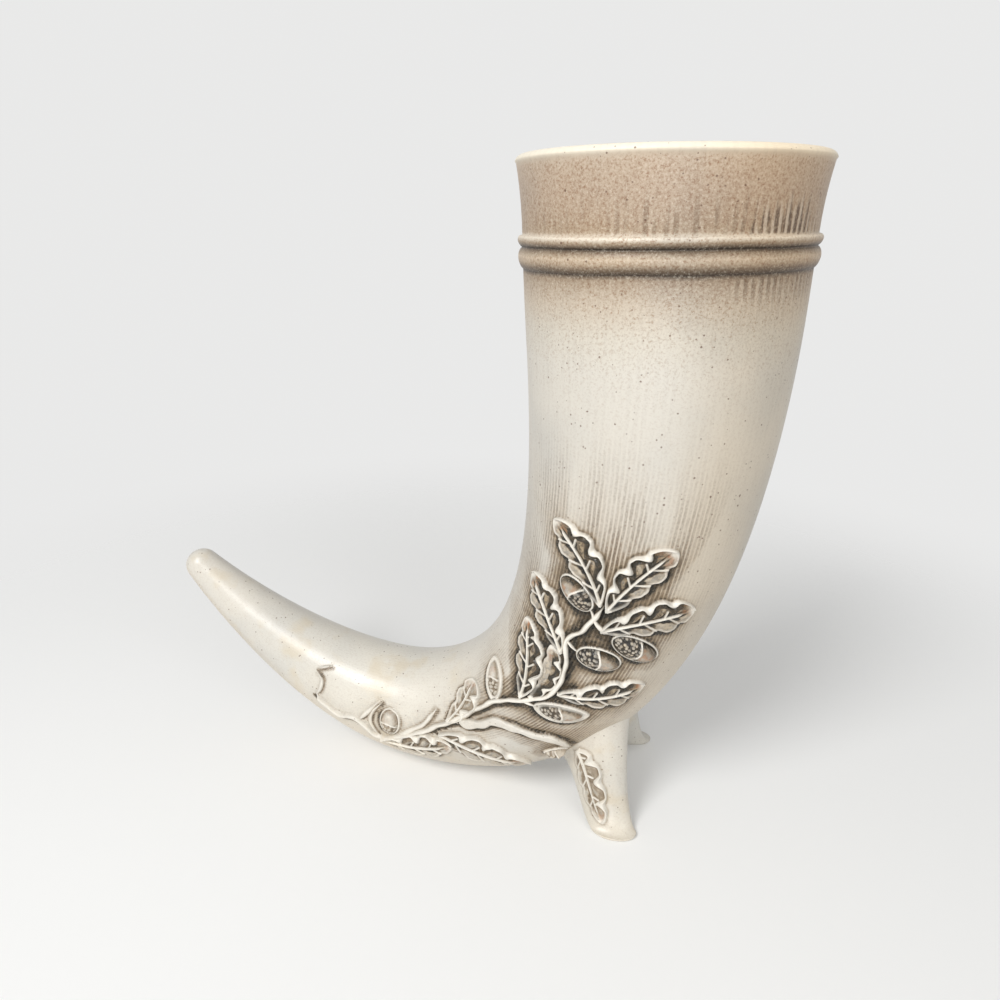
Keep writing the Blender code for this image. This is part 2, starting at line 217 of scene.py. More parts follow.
def stepped(tree, value, low, high, to_low=0.0, to_high=1.0):
    """A value that passes smoothly from one level to another between two thresholds."""
    levels = {"Value": value, "From Min": low, "From Max": high, "To Min": to_low, "To Max": to_high}
    return add(tree, "MapRange", levels, interpolation_type="SMOOTHSTEP").outputs[0]


def noise(tree, vector, size, detail=2.0, roughness=0.5):
    """Noise whose blotches are about a given size across, in metres."""
    levels = {"Vector": vector, "Scale": 1 / size, "Detail": detail, "Roughness": roughness}
    return add(tree, "TexNoise", levels).outputs[0]


def banded(tree, value, bands, end):
    """The colours of some bands, each given with where it starts, by a value that runs from 0 to the end."""
    ramp = add(tree, "ValToRGB", {0: sums(tree, "DIVIDE", value, end)})
    stops = ramp.color_ramp.elements
    stops[0].color = (*bands[0][1], 1.0)
    stops[1].color = (*bands[-1][1], 1.0)
    for start, colour in bands[1:-1]:
        stops.new(start / end).color = (*colour, 1.0)
    return ramp.outputs[0]


def group(name, inputs, outputs):
    """An empty node group, with its sockets given as name: kind, its input sockets and its output node."""
    tree = bpy.data.node_groups.new(name, "ShaderNodeTree")
    for names, way in ((inputs, "INPUT"), (outputs, "OUTPUT")):
        for socket, kind in names.items():
            tree.interface.new_socket(socket, in_out=way, socket_type="NodeSocket" + kind)
    return tree, tree.nodes.new("NodeGroupInput").outputs, tree.nodes.new("NodeGroupOutput")


CREAM = (0.655, 0.620, 0.550)
# Painted light: the arm's cream is lighter, standing in for the brighter light on it.
ARM_CREAM = (0.715, 0.680, 0.598)
COOL_CREAM = (0.88, 0.90, 0.93, 1.0)
# A warm tint of painted shade, used towards the combed mark's side of the neck.
WARM_CREAM = (1.0, 0.94, 0.86, 1.0)
GRAIN_TAN = (0.55, 0.38, 0.27, 1.0)
GROOVE_BROWN = (0.150, 0.090, 0.050, 1.0)
RIDGE_PALE = (0.74, 0.66, 0.54, 1.0)
HALO_TAN = (0.40, 0.305, 0.205, 1.0)
ARM_STAIN = (0.60, 0.50, 0.34, 1.0)
SPECK_BROWN = (0.115, 0.050, 0.024, 1.0)
# Painted light in part: the pale lip and the white line on the upper roll's top are partly painted highlight,
# and the near-black bands in the groove between the rolls and in the one below them are partly painted shade,
# with glaze pooled there.
RIM_BANDS = [
    (0.0000, (0.92, 0.84, 0.69)),
    (0.0016, (0.90, 0.81, 0.65)),
    (0.0034, (0.53, 0.415, 0.305)),
    (0.0120, (0.465, 0.355, 0.258)),
    (0.0200, (0.42, 0.315, 0.22)),
    (0.0236, (0.38, 0.28, 0.185)),
    (0.0244, (0.62, 0.53, 0.41)),
    (0.0250, (0.84, 0.78, 0.67)),
    (0.0255, (0.70, 0.61, 0.48)),
    (0.0259, (0.44, 0.345, 0.24)),
    (0.0267, (0.36, 0.27, 0.18)),
    (0.0275, (0.23, 0.165, 0.10)),
    (0.0280, (0.024, 0.015, 0.009)),
    (0.0288, (0.024, 0.015, 0.009)),
    (0.0295, (0.24, 0.175, 0.11)),
    (0.0308, (0.58, 0.47, 0.345)),
    (0.0323, (0.50, 0.39, 0.275)),
    (0.0337, (0.27, 0.195, 0.125)),
    (0.0348, (0.052, 0.034, 0.021)),
    (0.0361, (0.050, 0.033, 0.020)),
    (0.0372, (0.36, 0.275, 0.19)),
    (0.0395, (0.44, 0.355, 0.265)),
    (0.0450, (0.56, 0.48, 0.38)),
    (0.0540, (0.63, 0.585, 0.50)),
    (0.0650, CREAM),
    (0.2300, CREAM),
    # Painted light: the lighter band on the arm.
    (0.3000, ARM_CREAM),
    (0.3800, CREAM),
]
GRAIN_FADE = (0.030, 0.085)
BARE_LIP = (0.0020, 0.0045)
ARM_START = (0.225, 0.275)
MOTTLE_SIZE = 0.0008
GROOVES_AT_NECK = 110
GROOVES_AT_SPRAY = 176
NECK_GROOVE_EDGES = (-0.50, 0.80)
SPRAY_GROOVE_EDGES = (-0.20, 0.70)
GROOVE_WANDER = 1.5
GROOVE_DEPTH = 0.00024
COMBED_MARK = -0.89
COMBED_FRAY = 0.010
OVER_ROLLS = (0.0130, 0.0235)
OVER_ROLLS_END = (0.0238, 0.0246)
UNDER_ROLLS_START = (0.0360, 0.0375)
UNDER_ROLLS_FADE = (0.0370, 0.0500)
# Each kind of speck: its cells' spacing, its radius as a share of it, how many cells have one, how dark.
SPECKS = [
    (0.0019, 0.14, 0.40, 0.75),
    (0.0046, 0.075, 0.42, 0.85),
    (0.0120, 0.042, 0.50, 0.92),
]


def stoneware():
    """The glaze itself: its bands at the mouth, with partly painted highlight on the lip and the upper roll,
    partly painted shade in the grooves, and a lighter arm that is painted light; its clouds, grain and iron
    specks; and the combed grooves, which are stronger where the halo of the wash round the spray is, with a
    warm tint of painted shade towards the combed mark."""
    outputs = {"Color": "Color", "Height": "Float", "Groove": "Float"}
    tree, given, result = group("stoneware glaze", {"Thrown": "Vector", "Halo": "Float"}, outputs)
    thrown, halo = given["Thrown"], given["Halo"]
    place = add(tree, "TexCoord").outputs["Object"]
    straight = add(tree, "SeparateXYZ", {0: thrown})
    along = product(tree, straight.outputs[2], -1.0)

    drift = product(tree, sums(tree, "SUBTRACT", noise(tree, place, 0.02), 0.5), 0.0009)
    bands = banded(tree, sums(tree, "ADD", along, drift), RIM_BANDS, RIM_BANDS[-1][0])
    cloud = stepped(tree, noise(tree, place, 0.05, 3.0), 0.40, 0.68)
    colour = mixed(tree, cloud, bands, COOL_CREAM, "MULTIPLY")
    mottle = noise(tree, place, MOTTLE_SIZE, 5.0, 0.85)
    near_mouth = stepped(tree, along, *GRAIN_FADE, 1.0, 0.22)
    below_lip = stepped(tree, along, *BARE_LIP)
    grain = product(tree, stepped(tree, mottle, 0.50, 0.64), near_mouth, below_lip, 0.95)
    colour = mixed(tree, grain, colour, GRAIN_TAN, "MULTIPLY")
    pale_grain = product(tree, stepped(tree, mottle, 0.48, 0.36), near_mouth, below_lip, 0.42)
    colour = mixed(tree, pale_grain, colour, RIDGE_PALE)
    colour = mixed(tree, product(tree, halo, 0.80), colour, HALO_TAN)
    on_arm = stepped(tree, along, *ARM_START)
    arm_patches = product(tree, stepped(tree, noise(tree, place, 0.016, 3.0), 0.54, 0.70), on_arm, 0.42)
    colour = mixed(tree, arm_patches, colour, ARM_STAIN)

    angle = sums(tree, "ARCTAN2", straight.outputs[1], straight.outputs[0])
    wander = product(tree, sums(tree, "SUBTRACT", noise(tree, place, 0.012, 2.0), 0.5), 2 * GROOVE_WANDER)
    grooves = []
    for count, edges in ((GROOVES_AT_NECK, NECK_GROOVE_EDGES), (GROOVES_AT_SPRAY, SPRAY_GROOVE_EDGES)):
        turned = sums(tree, "ADD", product(tree, angle, float(count)), wander)
        grooves.append(stepped(tree, sums(tree, "SINE", turned), *edges, 1.0, 0.0))
    broad, narrow = grooves
    combed = add(tree, "VectorMath", {0: thrown, 1: (1.0, 1.0, 0.20)}, operation="MULTIPLY").outputs[0]
    uneven = stepped(tree, noise(tree, combed, 0.0035, 3.0, 0.6), 0.36, 0.60, 0.16, 1.0)
    from_mark = sums(tree, "ABSOLUTE", sums(tree, "SUBTRACT", angle, COMBED_MARK))
    # Painted shade: a warmer, slightly darker tint towards the combed mark's side of the neck.
    colour = mixed(tree, stepped(tree, from_mark, 0.20, 0.80, 1.0, 0.0), colour, WARM_CREAM, "MULTIPLY")
    at_mark = stepped(tree, from_mark, 0.30, 0.46, 1.0, 0.12)
    elsewhere = stepped(tree, noise(tree, place, 0.030, 1.0), 0.50, 0.66, 0.12, 0.28)
    patchy = sums(tree, "MAXIMUM", at_mark, elsewhere)
    frayed = sums(tree, "ADD", along, product(tree, sums(tree, "SUBTRACT", uneven, 0.65), COMBED_FRAY))
    over_rolls = stepped(tree, frayed, *OVER_ROLLS)
    over_rolls = product(tree, over_rolls, stepped(tree, along, *OVER_ROLLS_END, 1.0, 0.0))
    under_rolls = stepped(tree, along, *UNDER_ROLLS_START)
    under_rolls = product(tree, under_rolls, stepped(tree, frayed, *UNDER_ROLLS_FADE, 0.60, 0.0))
    at_rolls = product(tree, sums(tree, "ADD", over_rolls, under_rolls), patchy)
    at_spray = product(tree, sums(tree, "POWER", halo, 0.70), stepped(tree, uneven, 0.16, 1.0, 0.50, 1.0))
    granular = stepped(tree, mottle, 0.42, 0.56, 0.35, 1.0)
    in_valley = product(tree, sums(tree, "ADD", at_rolls, 0.06), broad, uneven, granular)
    in_valley = sums(tree, "MAXIMUM", in_valley, product(tree, at_spray, narrow, granular))
    on_ridge = product(tree, sums(tree, "SUBTRACT", 1.0, broad), at_rolls, uneven, 0.34)
    spray_ridge = product(tree, sums(tree, "SUBTRACT", 1.0, narrow), at_spray, 0.30)
    on_ridge = sums(tree, "MAXIMUM", on_ridge, spray_ridge)
    colour = mixed(tree, on_ridge, colour, RIDGE_PALE)
    colour = mixed(tree, in_valley, colour, GROOVE_BROWN)

    fine = noise(tree, place, 0.0006, 2.0, 0.7)
    for spacing, reach, presence, strength in SPECKS:
        cells = add(tree, "TexVoronoi", {"Vector": place, "Scale": 1 / spacing}, feature="F1")
        draw = add(tree, "SeparateColor", {0: cells.outputs["Color"]})
        there = stepped(tree, draw.outputs[0], 1 - presence, 1.02 - presence)
        radius = product(tree, sums(tree, "ADD", draw.outputs[1], 0.35), reach)
        ragged = product(tree, sums(tree, "SUBTRACT", fine, 0.5), 0.16)
        edge = sums(tree, "ADD", sums(tree, "SUBTRACT", radius, cells.outputs["Distance"]), ragged)
        speck = stepped(tree, edge, -0.02, 0.03)
        colour = mixed(tree, product(tree, speck, there, strength), colour, SPECK_BROWN)

    ripple = product(tree, noise(tree, place, 0.006), 0.00012)
    height = sums(tree, "ADD", product(tree, in_valley, -GROOVE_DEPTH), product(tree, mottle, 0.00004))
    tree.links.new(colour, result.inputs["Color"])
    tree.links.new(sums(tree, "ADD", height, ripple), result.inputs["Height"])
    tree.links.new(narrow, result.inputs["Groove"])
    return tree


# The white where the glaze breaks over an edge; on the crests of rims, rings and twigs it is partly painted
# highlight.
BREAK_WHITE_AND_HIGHLIGHT = (0.83, 0.79, 0.71, 1.0)
# The wash's dark colours also paint the shadow under the sprigs' low edges and the shade between crowded
# sprigs.
POOL_GREY = (0.034, 0.029, 0.020, 1.0)
POOL_BROWN = (0.075, 0.054, 0.031, 1.0)
POOL_DARK = (0.008, 0.006, 0.004, 1.0)
CREASE_TAN = (0.26, 0.19, 0.118, 1.0)
OCHRE = (0.080, 0.052, 0.027, 1.0)
OCHRE_LIGHT = (0.42, 0.325, 0.205, 1.0)
RUST = (0.42, 0.165, 0.055, 1.0)


def wash_and_painted_light():
    """The brown wash left in the hollows, with painted shadow and shade in its dark, and the white where the
    glaze breaks over an edge, which is partly painted highlight.
    """
    inputs = {
        "Color": "Color",
        "Groove": "Float",
        "Dark": "Float",
        "Ochre": "Float",
        "White": "Float",
        "Rust": "Float",
    }
    outputs = {"Color": "Color", "Gloss": "Float", "Height": "Float"}
    tree, given, result = group("wash and painted light", inputs, outputs)
    place = add(tree, "TexCoord").outputs["Object"]
    grain = stepped(tree, noise(tree, place, 0.0020, 4.0, 0.75), 0.43, 0.58)
    blotch = noise(tree, place, 0.003, 2.0)
    earth = mixed(tree, grain, OCHRE, OCHRE_LIGHT)
    patchy = stepped(tree, blotch, 0.30, 0.55, 0.70, 1.0)
    colour = mixed(tree, product(tree, given["Ochre"], patchy), given["Color"], earth)
    colour = mixed(tree, product(tree, given["Rust"], stepped(tree, blotch, 0.45, 0.60)), colour, RUST)
    blotchy = stepped(tree, noise(tree, place, 0.0018, 4.0, 0.7), 0.34, 0.56, 0.66, 1.0)
    # The Dark mark holds painted shadow and shade as well as the wash.
    uneven = product(tree, given["Dark"], blotchy, stepped(tree, given["Groove"], 0.0, 1.0, 0.82, 1.04))
    pool = mixed(tree, stepped(tree, blotch, 0.42, 0.62), POOL_GREY, POOL_BROWN)
    colour = mixed(tree, product(tree, stepped(tree, uneven, 0.0, 0.28), 0.85), colour, CREASE_TAN)
    streaky = sums(tree, "ADD", uneven, product(tree, sums(tree, "SUBTRACT", grain, 0.5), uneven, 0.35))
    colour = mixed(tree, stepped(tree, streaky, 0.12, 0.50), colour, pool)
    colour = mixed(tree, stepped(tree, uneven, 0.62, 0.95), colour, POOL_DARK)
    thin = stepped(tree, noise(tree, place, 0.005, 2.0), 0.36, 0.56, 0.70, 1.0)
    # The white is partly painted highlight.
    colour = mixed(tree, product(tree, given["White"], thin), colour, BREAK_WHITE_AND_HIGHLIGHT)
    tree.links.new(colour, result.inputs["Color"])
    tree.links.new(stepped(tree, uneven, 0.1, 0.6), result.inputs["Gloss"])
    grit = product(tree, given["Ochre"], grain, 0.00016)
    tree.links.new(grit, result.inputs["Height"])
    return tree


STONEWARE = stoneware()
WASH_AND_PAINTED_LIGHT = wash_and_painted_light()
GLOSSIER_ON_ARM = (0.10, 0.30)


def glazed(name, roughness, pool_roughness, gloss):
    """A material of the glaze and the wash. A mesh keeps what they need on its vertices: "thrown" is the
    place on the straight horn, "wash" is (dark, ochre, white), whose dark and white also hold painted shade
    and painted highlight, and "stain" is (halo, rust, how little it is combed)."""
    material = bpy.data.materials.new(name)
    material.use_nodes = True
    tree = material.node_tree
    shader = tree.nodes["Principled BSDF"]
    thrown = add(tree, "Attribute", attribute_name="thrown").outputs["Vector"]
    wash = add(tree, "SeparateXYZ", {0: add(tree, "Attribute", attribute_name="wash").outputs["Vector"]})
    stain = add(tree, "SeparateXYZ", {0: add(tree, "Attribute", attribute_name="stain").outputs["Vector"]})
    glaze = add(tree, "Group", node_tree=STONEWARE)
    tree.links.new(thrown, glaze.inputs["Thrown"])
    tree.links.new(stain.outputs[0], glaze.inputs["Halo"])
    washed = add(tree, "Group", node_tree=WASH_AND_PAINTED_LIGHT)
    tree.links.new(glaze.outputs["Color"], washed.inputs["Color"])
    tree.links.new(sums(tree, "MAXIMUM", glaze.outputs["Groove"], stain.outputs[2]), washed.inputs["Groove"])
    for place, socket in enumerate(("Dark", "Ochre", "White")):
        tree.links.new(wash.outputs[place], washed.inputs[socket])
    tree.links.new(stain.outputs[1], washed.inputs["Rust"])
    tree.links.new(washed.outputs["Color"], shader.inputs["Base Color"])
    along = product(tree, add(tree, "SeparateXYZ", {0: thrown}).outputs[2], -1.0)
    fired = stepped(tree, along, *GLOSSIER_ON_ARM, roughness + 0.10, roughness - 0.08)
    rough = stepped(tree, washed.outputs["Gloss"], 0.0, 1.0, fired, pool_roughness)
    tree.links.new(rough, shader.inputs["Roughness"])
    height = sums(tree, "ADD", glaze.outputs["Height"], washed.outputs["Height"])
    bump = add(tree, "Bump", {"Strength": 1.0, "Distance": 1.0, "Height": height})
    tree.links.new(bump.outputs[0], shader.inputs["Normal"])
    shader.inputs["Specular IOR Level"].default_value = gloss
    return material


def numbers(mesh):
    """The places of a mesh's vertices."""
    places = np.empty(len(mesh.vertices) * 3, dtype=np.float32)
    mesh.vertices.foreach_get("co", places)
    return places.reshape(-1, 3).astype(float)


def place_vertices(mesh, places):
    """Moves a mesh's vertices to some places."""
    mesh.vertices.foreach_set("co", np.ascontiguousarray(places, dtype=np.float32).ravel())
    mesh.update()


def set_mark(mesh, name, values):
    """Keeps a vector on each vertex of a mesh for its material."""
    layer = mesh.attributes.get(name) or mesh.attributes.new(name, "FLOAT_VECTOR", "POINT")
    layer.data.foreach_set("vector", np.ascontiguousarray(values, dtype=np.float32).ravel())


def turn_outwards(mesh):
    """Makes a closed mesh's faces point outwards."""
    shape = bmesh.new()
    shape.from_mesh(mesh)
    bmesh.ops.recalc_face_normals(shape, faces=shape.faces)
    if shape.calc_volume(signed=True) < 0:
        bmesh.ops.reverse_faces(shape, faces=shape.faces)
    shape.to_mesh(mesh)
    shape.free()


def finished(name, mesh, material, node):
    """A finished piece of the vase, shown in place of its CAD node if it has one."""
    turn_outwards(mesh)
    mesh.shade_smooth()
    if not mesh.materials:
        mesh.materials.append(material)
    piece = bpy.data.objects.new(name, mesh)
    bpy.context.scene.collection.objects.link(piece)
    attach(piece, "root")
    if node:
        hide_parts(node)
    return piece


horn_mesh = bpy.data.meshes.new("glazed_horn")
straight_horn = spun_horn()
straight_horn.to_mesh(horn_mesh)
straight_horn.free()
horn_thrown = numbers(horn_mesh)
set_mark(horn_mesh, "thrown", horn_thrown)
place_vertices(horn_mesh, bent(horn_thrown))
horn_glaze = glazed("horn glaze", 0.36, 0.24, 0.48)
finished("glazed_horn", horn_mesh, horn_glaze, "horn_body")


# The oak leaves: pressed in a mould from the same clay, thin at the edge, and luted on with slip. Each has
# lobed sides with a raised rim, pillowed hollows that hold the wash on its upper side, and a rib with side
# veins.
LEG_STATION = NECK_LENGTH + SHOULDER_LENGTH + 0.032
# Each leaf: the places of its stalk and its tip, its width, its lobes on a side, its bow, and its wash.
LEAVES = {
    "crown_leaf": ((-0.0625, 0.0026), (-0.0896, 0.0282), 0.0150, 4, 0.0027, 1.0),
    "brow_leaf": ((-0.0611, 0.0001), (-0.0900, -0.0180), 0.0155, 4, -0.0024, 1.0),
    "back_leaf": ((-0.0522, -0.0003), (-0.0672, -0.0325), 0.0155, 4, -0.0024, 1.0),
    "throat_leaf": ((-0.0343, 0.0088), (-0.0594, 0.0344), 0.0145, 4, 0.0005, 1.0),
    "inner_leaf": ((-0.0003, 0.0099), (-0.0371, 0.0288), 0.0145, 4, 0.0010, 1.0),
    "tucked_leaf": ((-0.0040, 0.0078), (-0.0350, 0.0135), 0.0090, 4, 0.0026, 1.0),
    "heel_leaf": ((-0.0164, 0.0015), (-0.0347, -0.0266), 0.0140, 4, 0.0009, 1.0),
    "under_leaf": ((0.0812, -0.0075), (0.0466, -0.0032), 0.0136, 4, 0.0012, 0.50),
    "belly_leaf": ((0.0520, 0.0026), (0.0218, -0.0244), 0.0178, 4, -0.0034, 0.50),
    "arm_leaf": ((0.0464, 0.0083), (0.0235, 0.0248), 0.0125, 3, 0.0008, 0.32),
}
BLADE_LEAN = 1.24
BLADE_FULLNESS = 0.54
LOBE_DEPTH = {"up": 0.19, "low": 0.24}
SIDE_SHARE = {"up": 1.09, "low": 0.88}
LOBE_LEAN = 0.48
LOBE_ROUNDNESS = 2.2
LOW_LOBE_LAG = 0.14
STALK_HALF_WIDTH = 0.0009
STALK_HEIGHT = 0.0017
RIM_WIDTH = {"up": 0.00108, "low": 0.00100}
CUSP_WIDTH = {"up": 0.00265, "low": 0.00070}
RIM_HEIGHT = {"up": 0.0027, "low": 0.0013}
RIM_UNEVEN = 0.32
RIB_HEIGHT = 0.0020
RIB_HALF_WIDTH = 0.00060
VEIN_HEIGHT = 0.0015
VEIN_HALF_WIDTH = 0.00046
VEIN_REACH = {"up": 0.45, "low": 0.92}
BLADE_FLOOR = {"up": 0.00045, "low": 0.00090}
PILLOW_RISE = {"up": 0.00125, "low": 0.00050}
POOL_WIDTH = 0.0020
LEAF_PITCH = 0.00024
SKIRT = 0.0013
SKIRT_LIFT = 0.00010
SKIRT_FALL = 0.16
SUNK = -0.0010
FULL_LEAF_WIDTH = 0.0145
LEAST_RIBBED_WIDTH = 0.010
PILLOW_ROUND = 0.0022
SEEN_FROM = (0.4, 0.0, 0.9)
sprigs = []


def smooth_step(low, high, value):
    """A value that passes smoothly from 0 to 1 between two thresholds."""
    t = np.clip((value - low) / (high - low), 0.0, 1.0)
    return t * t * (3 - 2 * t)


def peak(distance, half_width):
    """1 where the distance is 0, falling off round it."""
    return np.exp(-((distance / half_width) ** 2))


def on_skin(places, height):
    """Places on the straight horn at heights above its skin. A place is (along, around): along from the legs
    towards the tip, around from the near side line towards the inner bend."""
    along = LEG_STATION + places[..., 0]
    skin = np.interp(along, axis_along, axis_radius)
    angle = places[..., 1] / skin
    return np.stack([(skin + height) * np.cos(angle), (skin + height) * np.sin(angle), -along], axis=-1)


def stretched(place_along, place_around):
    """How much longer the bent horn's skin is at a place, along it, than the straight one's."""
    along = LEG_STATION + place_along
    skin = np.interp(along, axis_along, axis_radius)
    return 1 - np.interp(along, axis_along, axis_bend) * skin * np.sin(place_around / skin)


def square_on_skin(places, directions):
    """The step on the skin that is 1 m square to a direction, at each of some places."""
    stretch = stretched(places[:, 0], places[:, 1])
    forward = np.stack([directions[:, 0] * stretch, directions[:, 1]], axis=1)
    forward /= np.linalg.norm(forward, axis=1, keepdims=True)
    return np.stack([-forward[:, 1] / stretch, forward[:, 0]], axis=1)


def laid_on_horn(stalk, tip, bow=0.0):
    """How a sprig's own plane, with the stalk at (0, 0) and the tip at (length, 0), lies on the near side.
    The bow is how far its middle lies beside the straight line. Returns the length, what puts places of the
    plane at heights, and the side of the sprig that faces up."""
    stalk = np.array(stalk)
    run = np.array(tip) - stalk
    length = math.hypot(run[0] * stretched(*(stalk + run / 2)), run[1])

    def lay(spots, height):
        share = spots[:, :1] / length
        here = stalk + run * share
        across = square_on_skin(here, np.broadcast_to(run, here.shape))
        bowed = 4 * bow * np.clip(share, 0, 1) * (1 - np.clip(share, 0, 1))
        return on_skin(here + across * (spots[:, 1:] + bowed), height)

    beside = bent(lay(np.array([[length / 2, -0.001], [length / 2, 0.001]]), np.zeros(2)))
    rise = (beside[1] - beside[0]) @ SEEN_FROM
    return length, lay, 1 if rise > 0 else -1


def to_lines(spots, starts, ends):
    """The distances from some spots to some straight lines, one column for each line."""
    steps = ends - starts
    reach = spots[:, None, :] - starts[None]
    share = np.clip((reach * steps).sum(-1) / np.maximum((steps * steps).sum(-1), 1e-18), 0, 1)
    return np.linalg.norm(reach - share[..., None] * steps, axis=-1)


def inside_by(spots, outline):
    """How far inside a closed outline each spot is. It is negative outside."""
    ends = np.roll(outline, -1, axis=0)
    distance = to_lines(spots, outline, ends).min(1)
    x, y = spots[:, :1], spots[:, 1:]
    crosses = (outline[:, 1] > y) != (ends[:, 1] > y)
    fall = np.where(ends[:, 1] == outline[:, 1], 1e-12, ends[:, 1] - outline[:, 1])
    slope = (ends[:, 0] - outline[:, 0]) / fall
    crosses &= x < outline[:, 0] + (y - outline[:, 1]) * slope
    return np.where(crosses.sum(1) % 2 == 1, distance, -distance)


def pressed_plate(outline, pitch):
    """A sprig and a narrow skirt round it, flat: a fine sheet with a back. Returns its mesh, the spots of its
    vertices, how far inside the outline they are, and which of them are in front."""
    low = outline.min(0) - SKIRT - pitch
    high = outline.max(0) + SKIRT + pitch
    counts = np.ceil((high - low) / pitch).astype(int)
    shape = bmesh.new()
    depth = shape.verts.layers.float.new("inside")
    bmesh.ops.create_grid(shape, x_segments=int(counts[0]), y_segments=int(counts[1]), size=1.0)
    bmesh.ops.scale(shape, vec=(*((high - low) / 2), 1.0), verts=shape.verts)
    bmesh.ops.translate(shape, vec=(*((high + low) / 2), 0.0), verts=shape.verts)
    inside = inside_by(np.array([vert.co.xy for vert in shape.verts]), outline)
    for vert, value in zip(shape.verts, inside):
        vert[depth] = value
    beyond = [face for face in shape.faces if max(vert[depth] for vert in face.verts) < -SKIRT]
    bmesh.ops.delete(shape, geom=beyond, context="FACES")
    raised = bmesh.ops.extrude_face_region(shape, geom=shape.faces[:])["geom"]
    front = [item for item in raised if isinstance(item, bmesh.types.BMVert)]
    bmesh.ops.translate(shape, vec=(0.0, 0.0, 1.0), verts=front)
    mesh = bpy.data.meshes.new("plate")
    shape.to_mesh(mesh)
    shape.free()
    inside = np.empty(len(mesh.vertices), dtype=np.float32)
    mesh.attributes["inside"].data.foreach_get("value", inside)
    spots = numbers(mesh)
    return mesh, spots[:, :2], inside.astype(float), spots[:, 2] > 0.5


def skirt_height(inside):
    """The skirt's height: it starts just above the skin at the outline and sinks into it."""
    return SKIRT_LIFT + SKIRT_FALL * np.minimum(inside, 0.0)


def pressed(name, material, outline, weights, lay, relief, pitch):
    """A sprig on the near side and its mirror image on the far side. relief(spots, inside) gives the height
    of the clay and the marks of the wash, and the weights say how much wash gathers outside each point of the
    outline."""
    mesh, spots, inside, front = pressed_plate(outline, pitch)
    height, dark, ochre, white, rust = relief(spots, inside)
    edge = smooth_step(-0.00030, 0.00045, inside)
    height = skirt_height(inside) + edge * (height - SKIRT_LIFT)
    height = np.where(front, height, SUNK)
    keep(name, material, mesh, lay(spots, height), inside, (dark, ochre, white, rust))
    wash_and_shadow_points.append(lay(outline, np.zeros(len(outline))))
    wash_and_shadow_weights.append(weights)


def keep(name, material, mesh, thrown, inside, marks, surface=bent):
    """Puts a sprig's mesh in place, and makes its mirror image. The wash is put on later."""
    set_mark(mesh, "thrown", thrown)
    place_vertices(mesh, surface(thrown))
    pair = []
    for side, mirror in (("near_", 1), ("far_", -1)):
        copy = mesh.copy()
        copy.name = side + name
        place_vertices(copy, numbers(mesh) * (1, mirror, 1))
        set_mark(copy, "thrown", thrown * (mirror, 1, 1))
        node = side + name if name in known else None
        pair.append(finished("glazed_" + side + name, copy, material, node))
    sprigs.append((pair, inside, np.stack(marks, axis=1)))
    bpy.data.meshes.remove(mesh)


known = {name[5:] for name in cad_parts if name.startswith("near_")}
wash_and_shadow_points = []
wash_and_shadow_weights = []


def blade_half(share, width):
    """Half the width of a leaf's blade without its lobes."""
    return width / 2 * np.maximum(np.sin(math.pi * share**BLADE_LEAN), 0.0) ** BLADE_FULLNESS


def leaf_side(share, width, lobes, way, twist):
    """Half a leaf's width on one side, with its lobes, and how near the next notch between two lobes is."""
    lag = LOW_LOBE_LAG if way == "low" else 0.0
    notch = (0.5 + 0.5 * np.cos(2 * math.pi * (lobes * share - lag))) ** LOBE_ROUNDNESS
    notch = notch * smooth_step(0.06, 0.18, share) * smooth_step(0.95, 0.84, share)
    uneven = 1 + 0.08 * np.sin(5.0 * share + twist + 2 * lag)
    least = STALK_HALF_WIDTH * smooth_step(0.6, 0.3, share)
    half = blade_half(share, width) * SIDE_SHARE[way]
    return np.maximum(half * (1 - LOBE_DEPTH[way] * notch) * uneven, least), notch


def leaf_outline(length, width, lobes, up, twist):
    """A leaf's lobed outline, and how much wash gathers outside it: most along the low side, where it also
    paints the shadow under that edge, least at the tip."""
    share = np.linspace(0.0, 1.0, 24 * lobes + 1)
    sides = []
    for side in (1, -1):
        way = "up" if side == up else "low"
        half, _ = leaf_side(share, width, lobes, way, twist)
        spots = np.stack([length * share + LOBE_LEAN * half * (1 - share) * share**0.5, side * half], axis=1)
        # The low side's heavier weight is partly painted shadow under that edge.
        weight = (1.0 if way == "low" else 0.32) * (1 - 0.80 * smooth_step(0.70, 0.97, share))
        sides.append((spots, weight))
    outline = np.concatenate([sides[0][0], sides[1][0][::-1]])
    return outline, np.concatenate([sides[0][1], sides[1][1][::-1]])


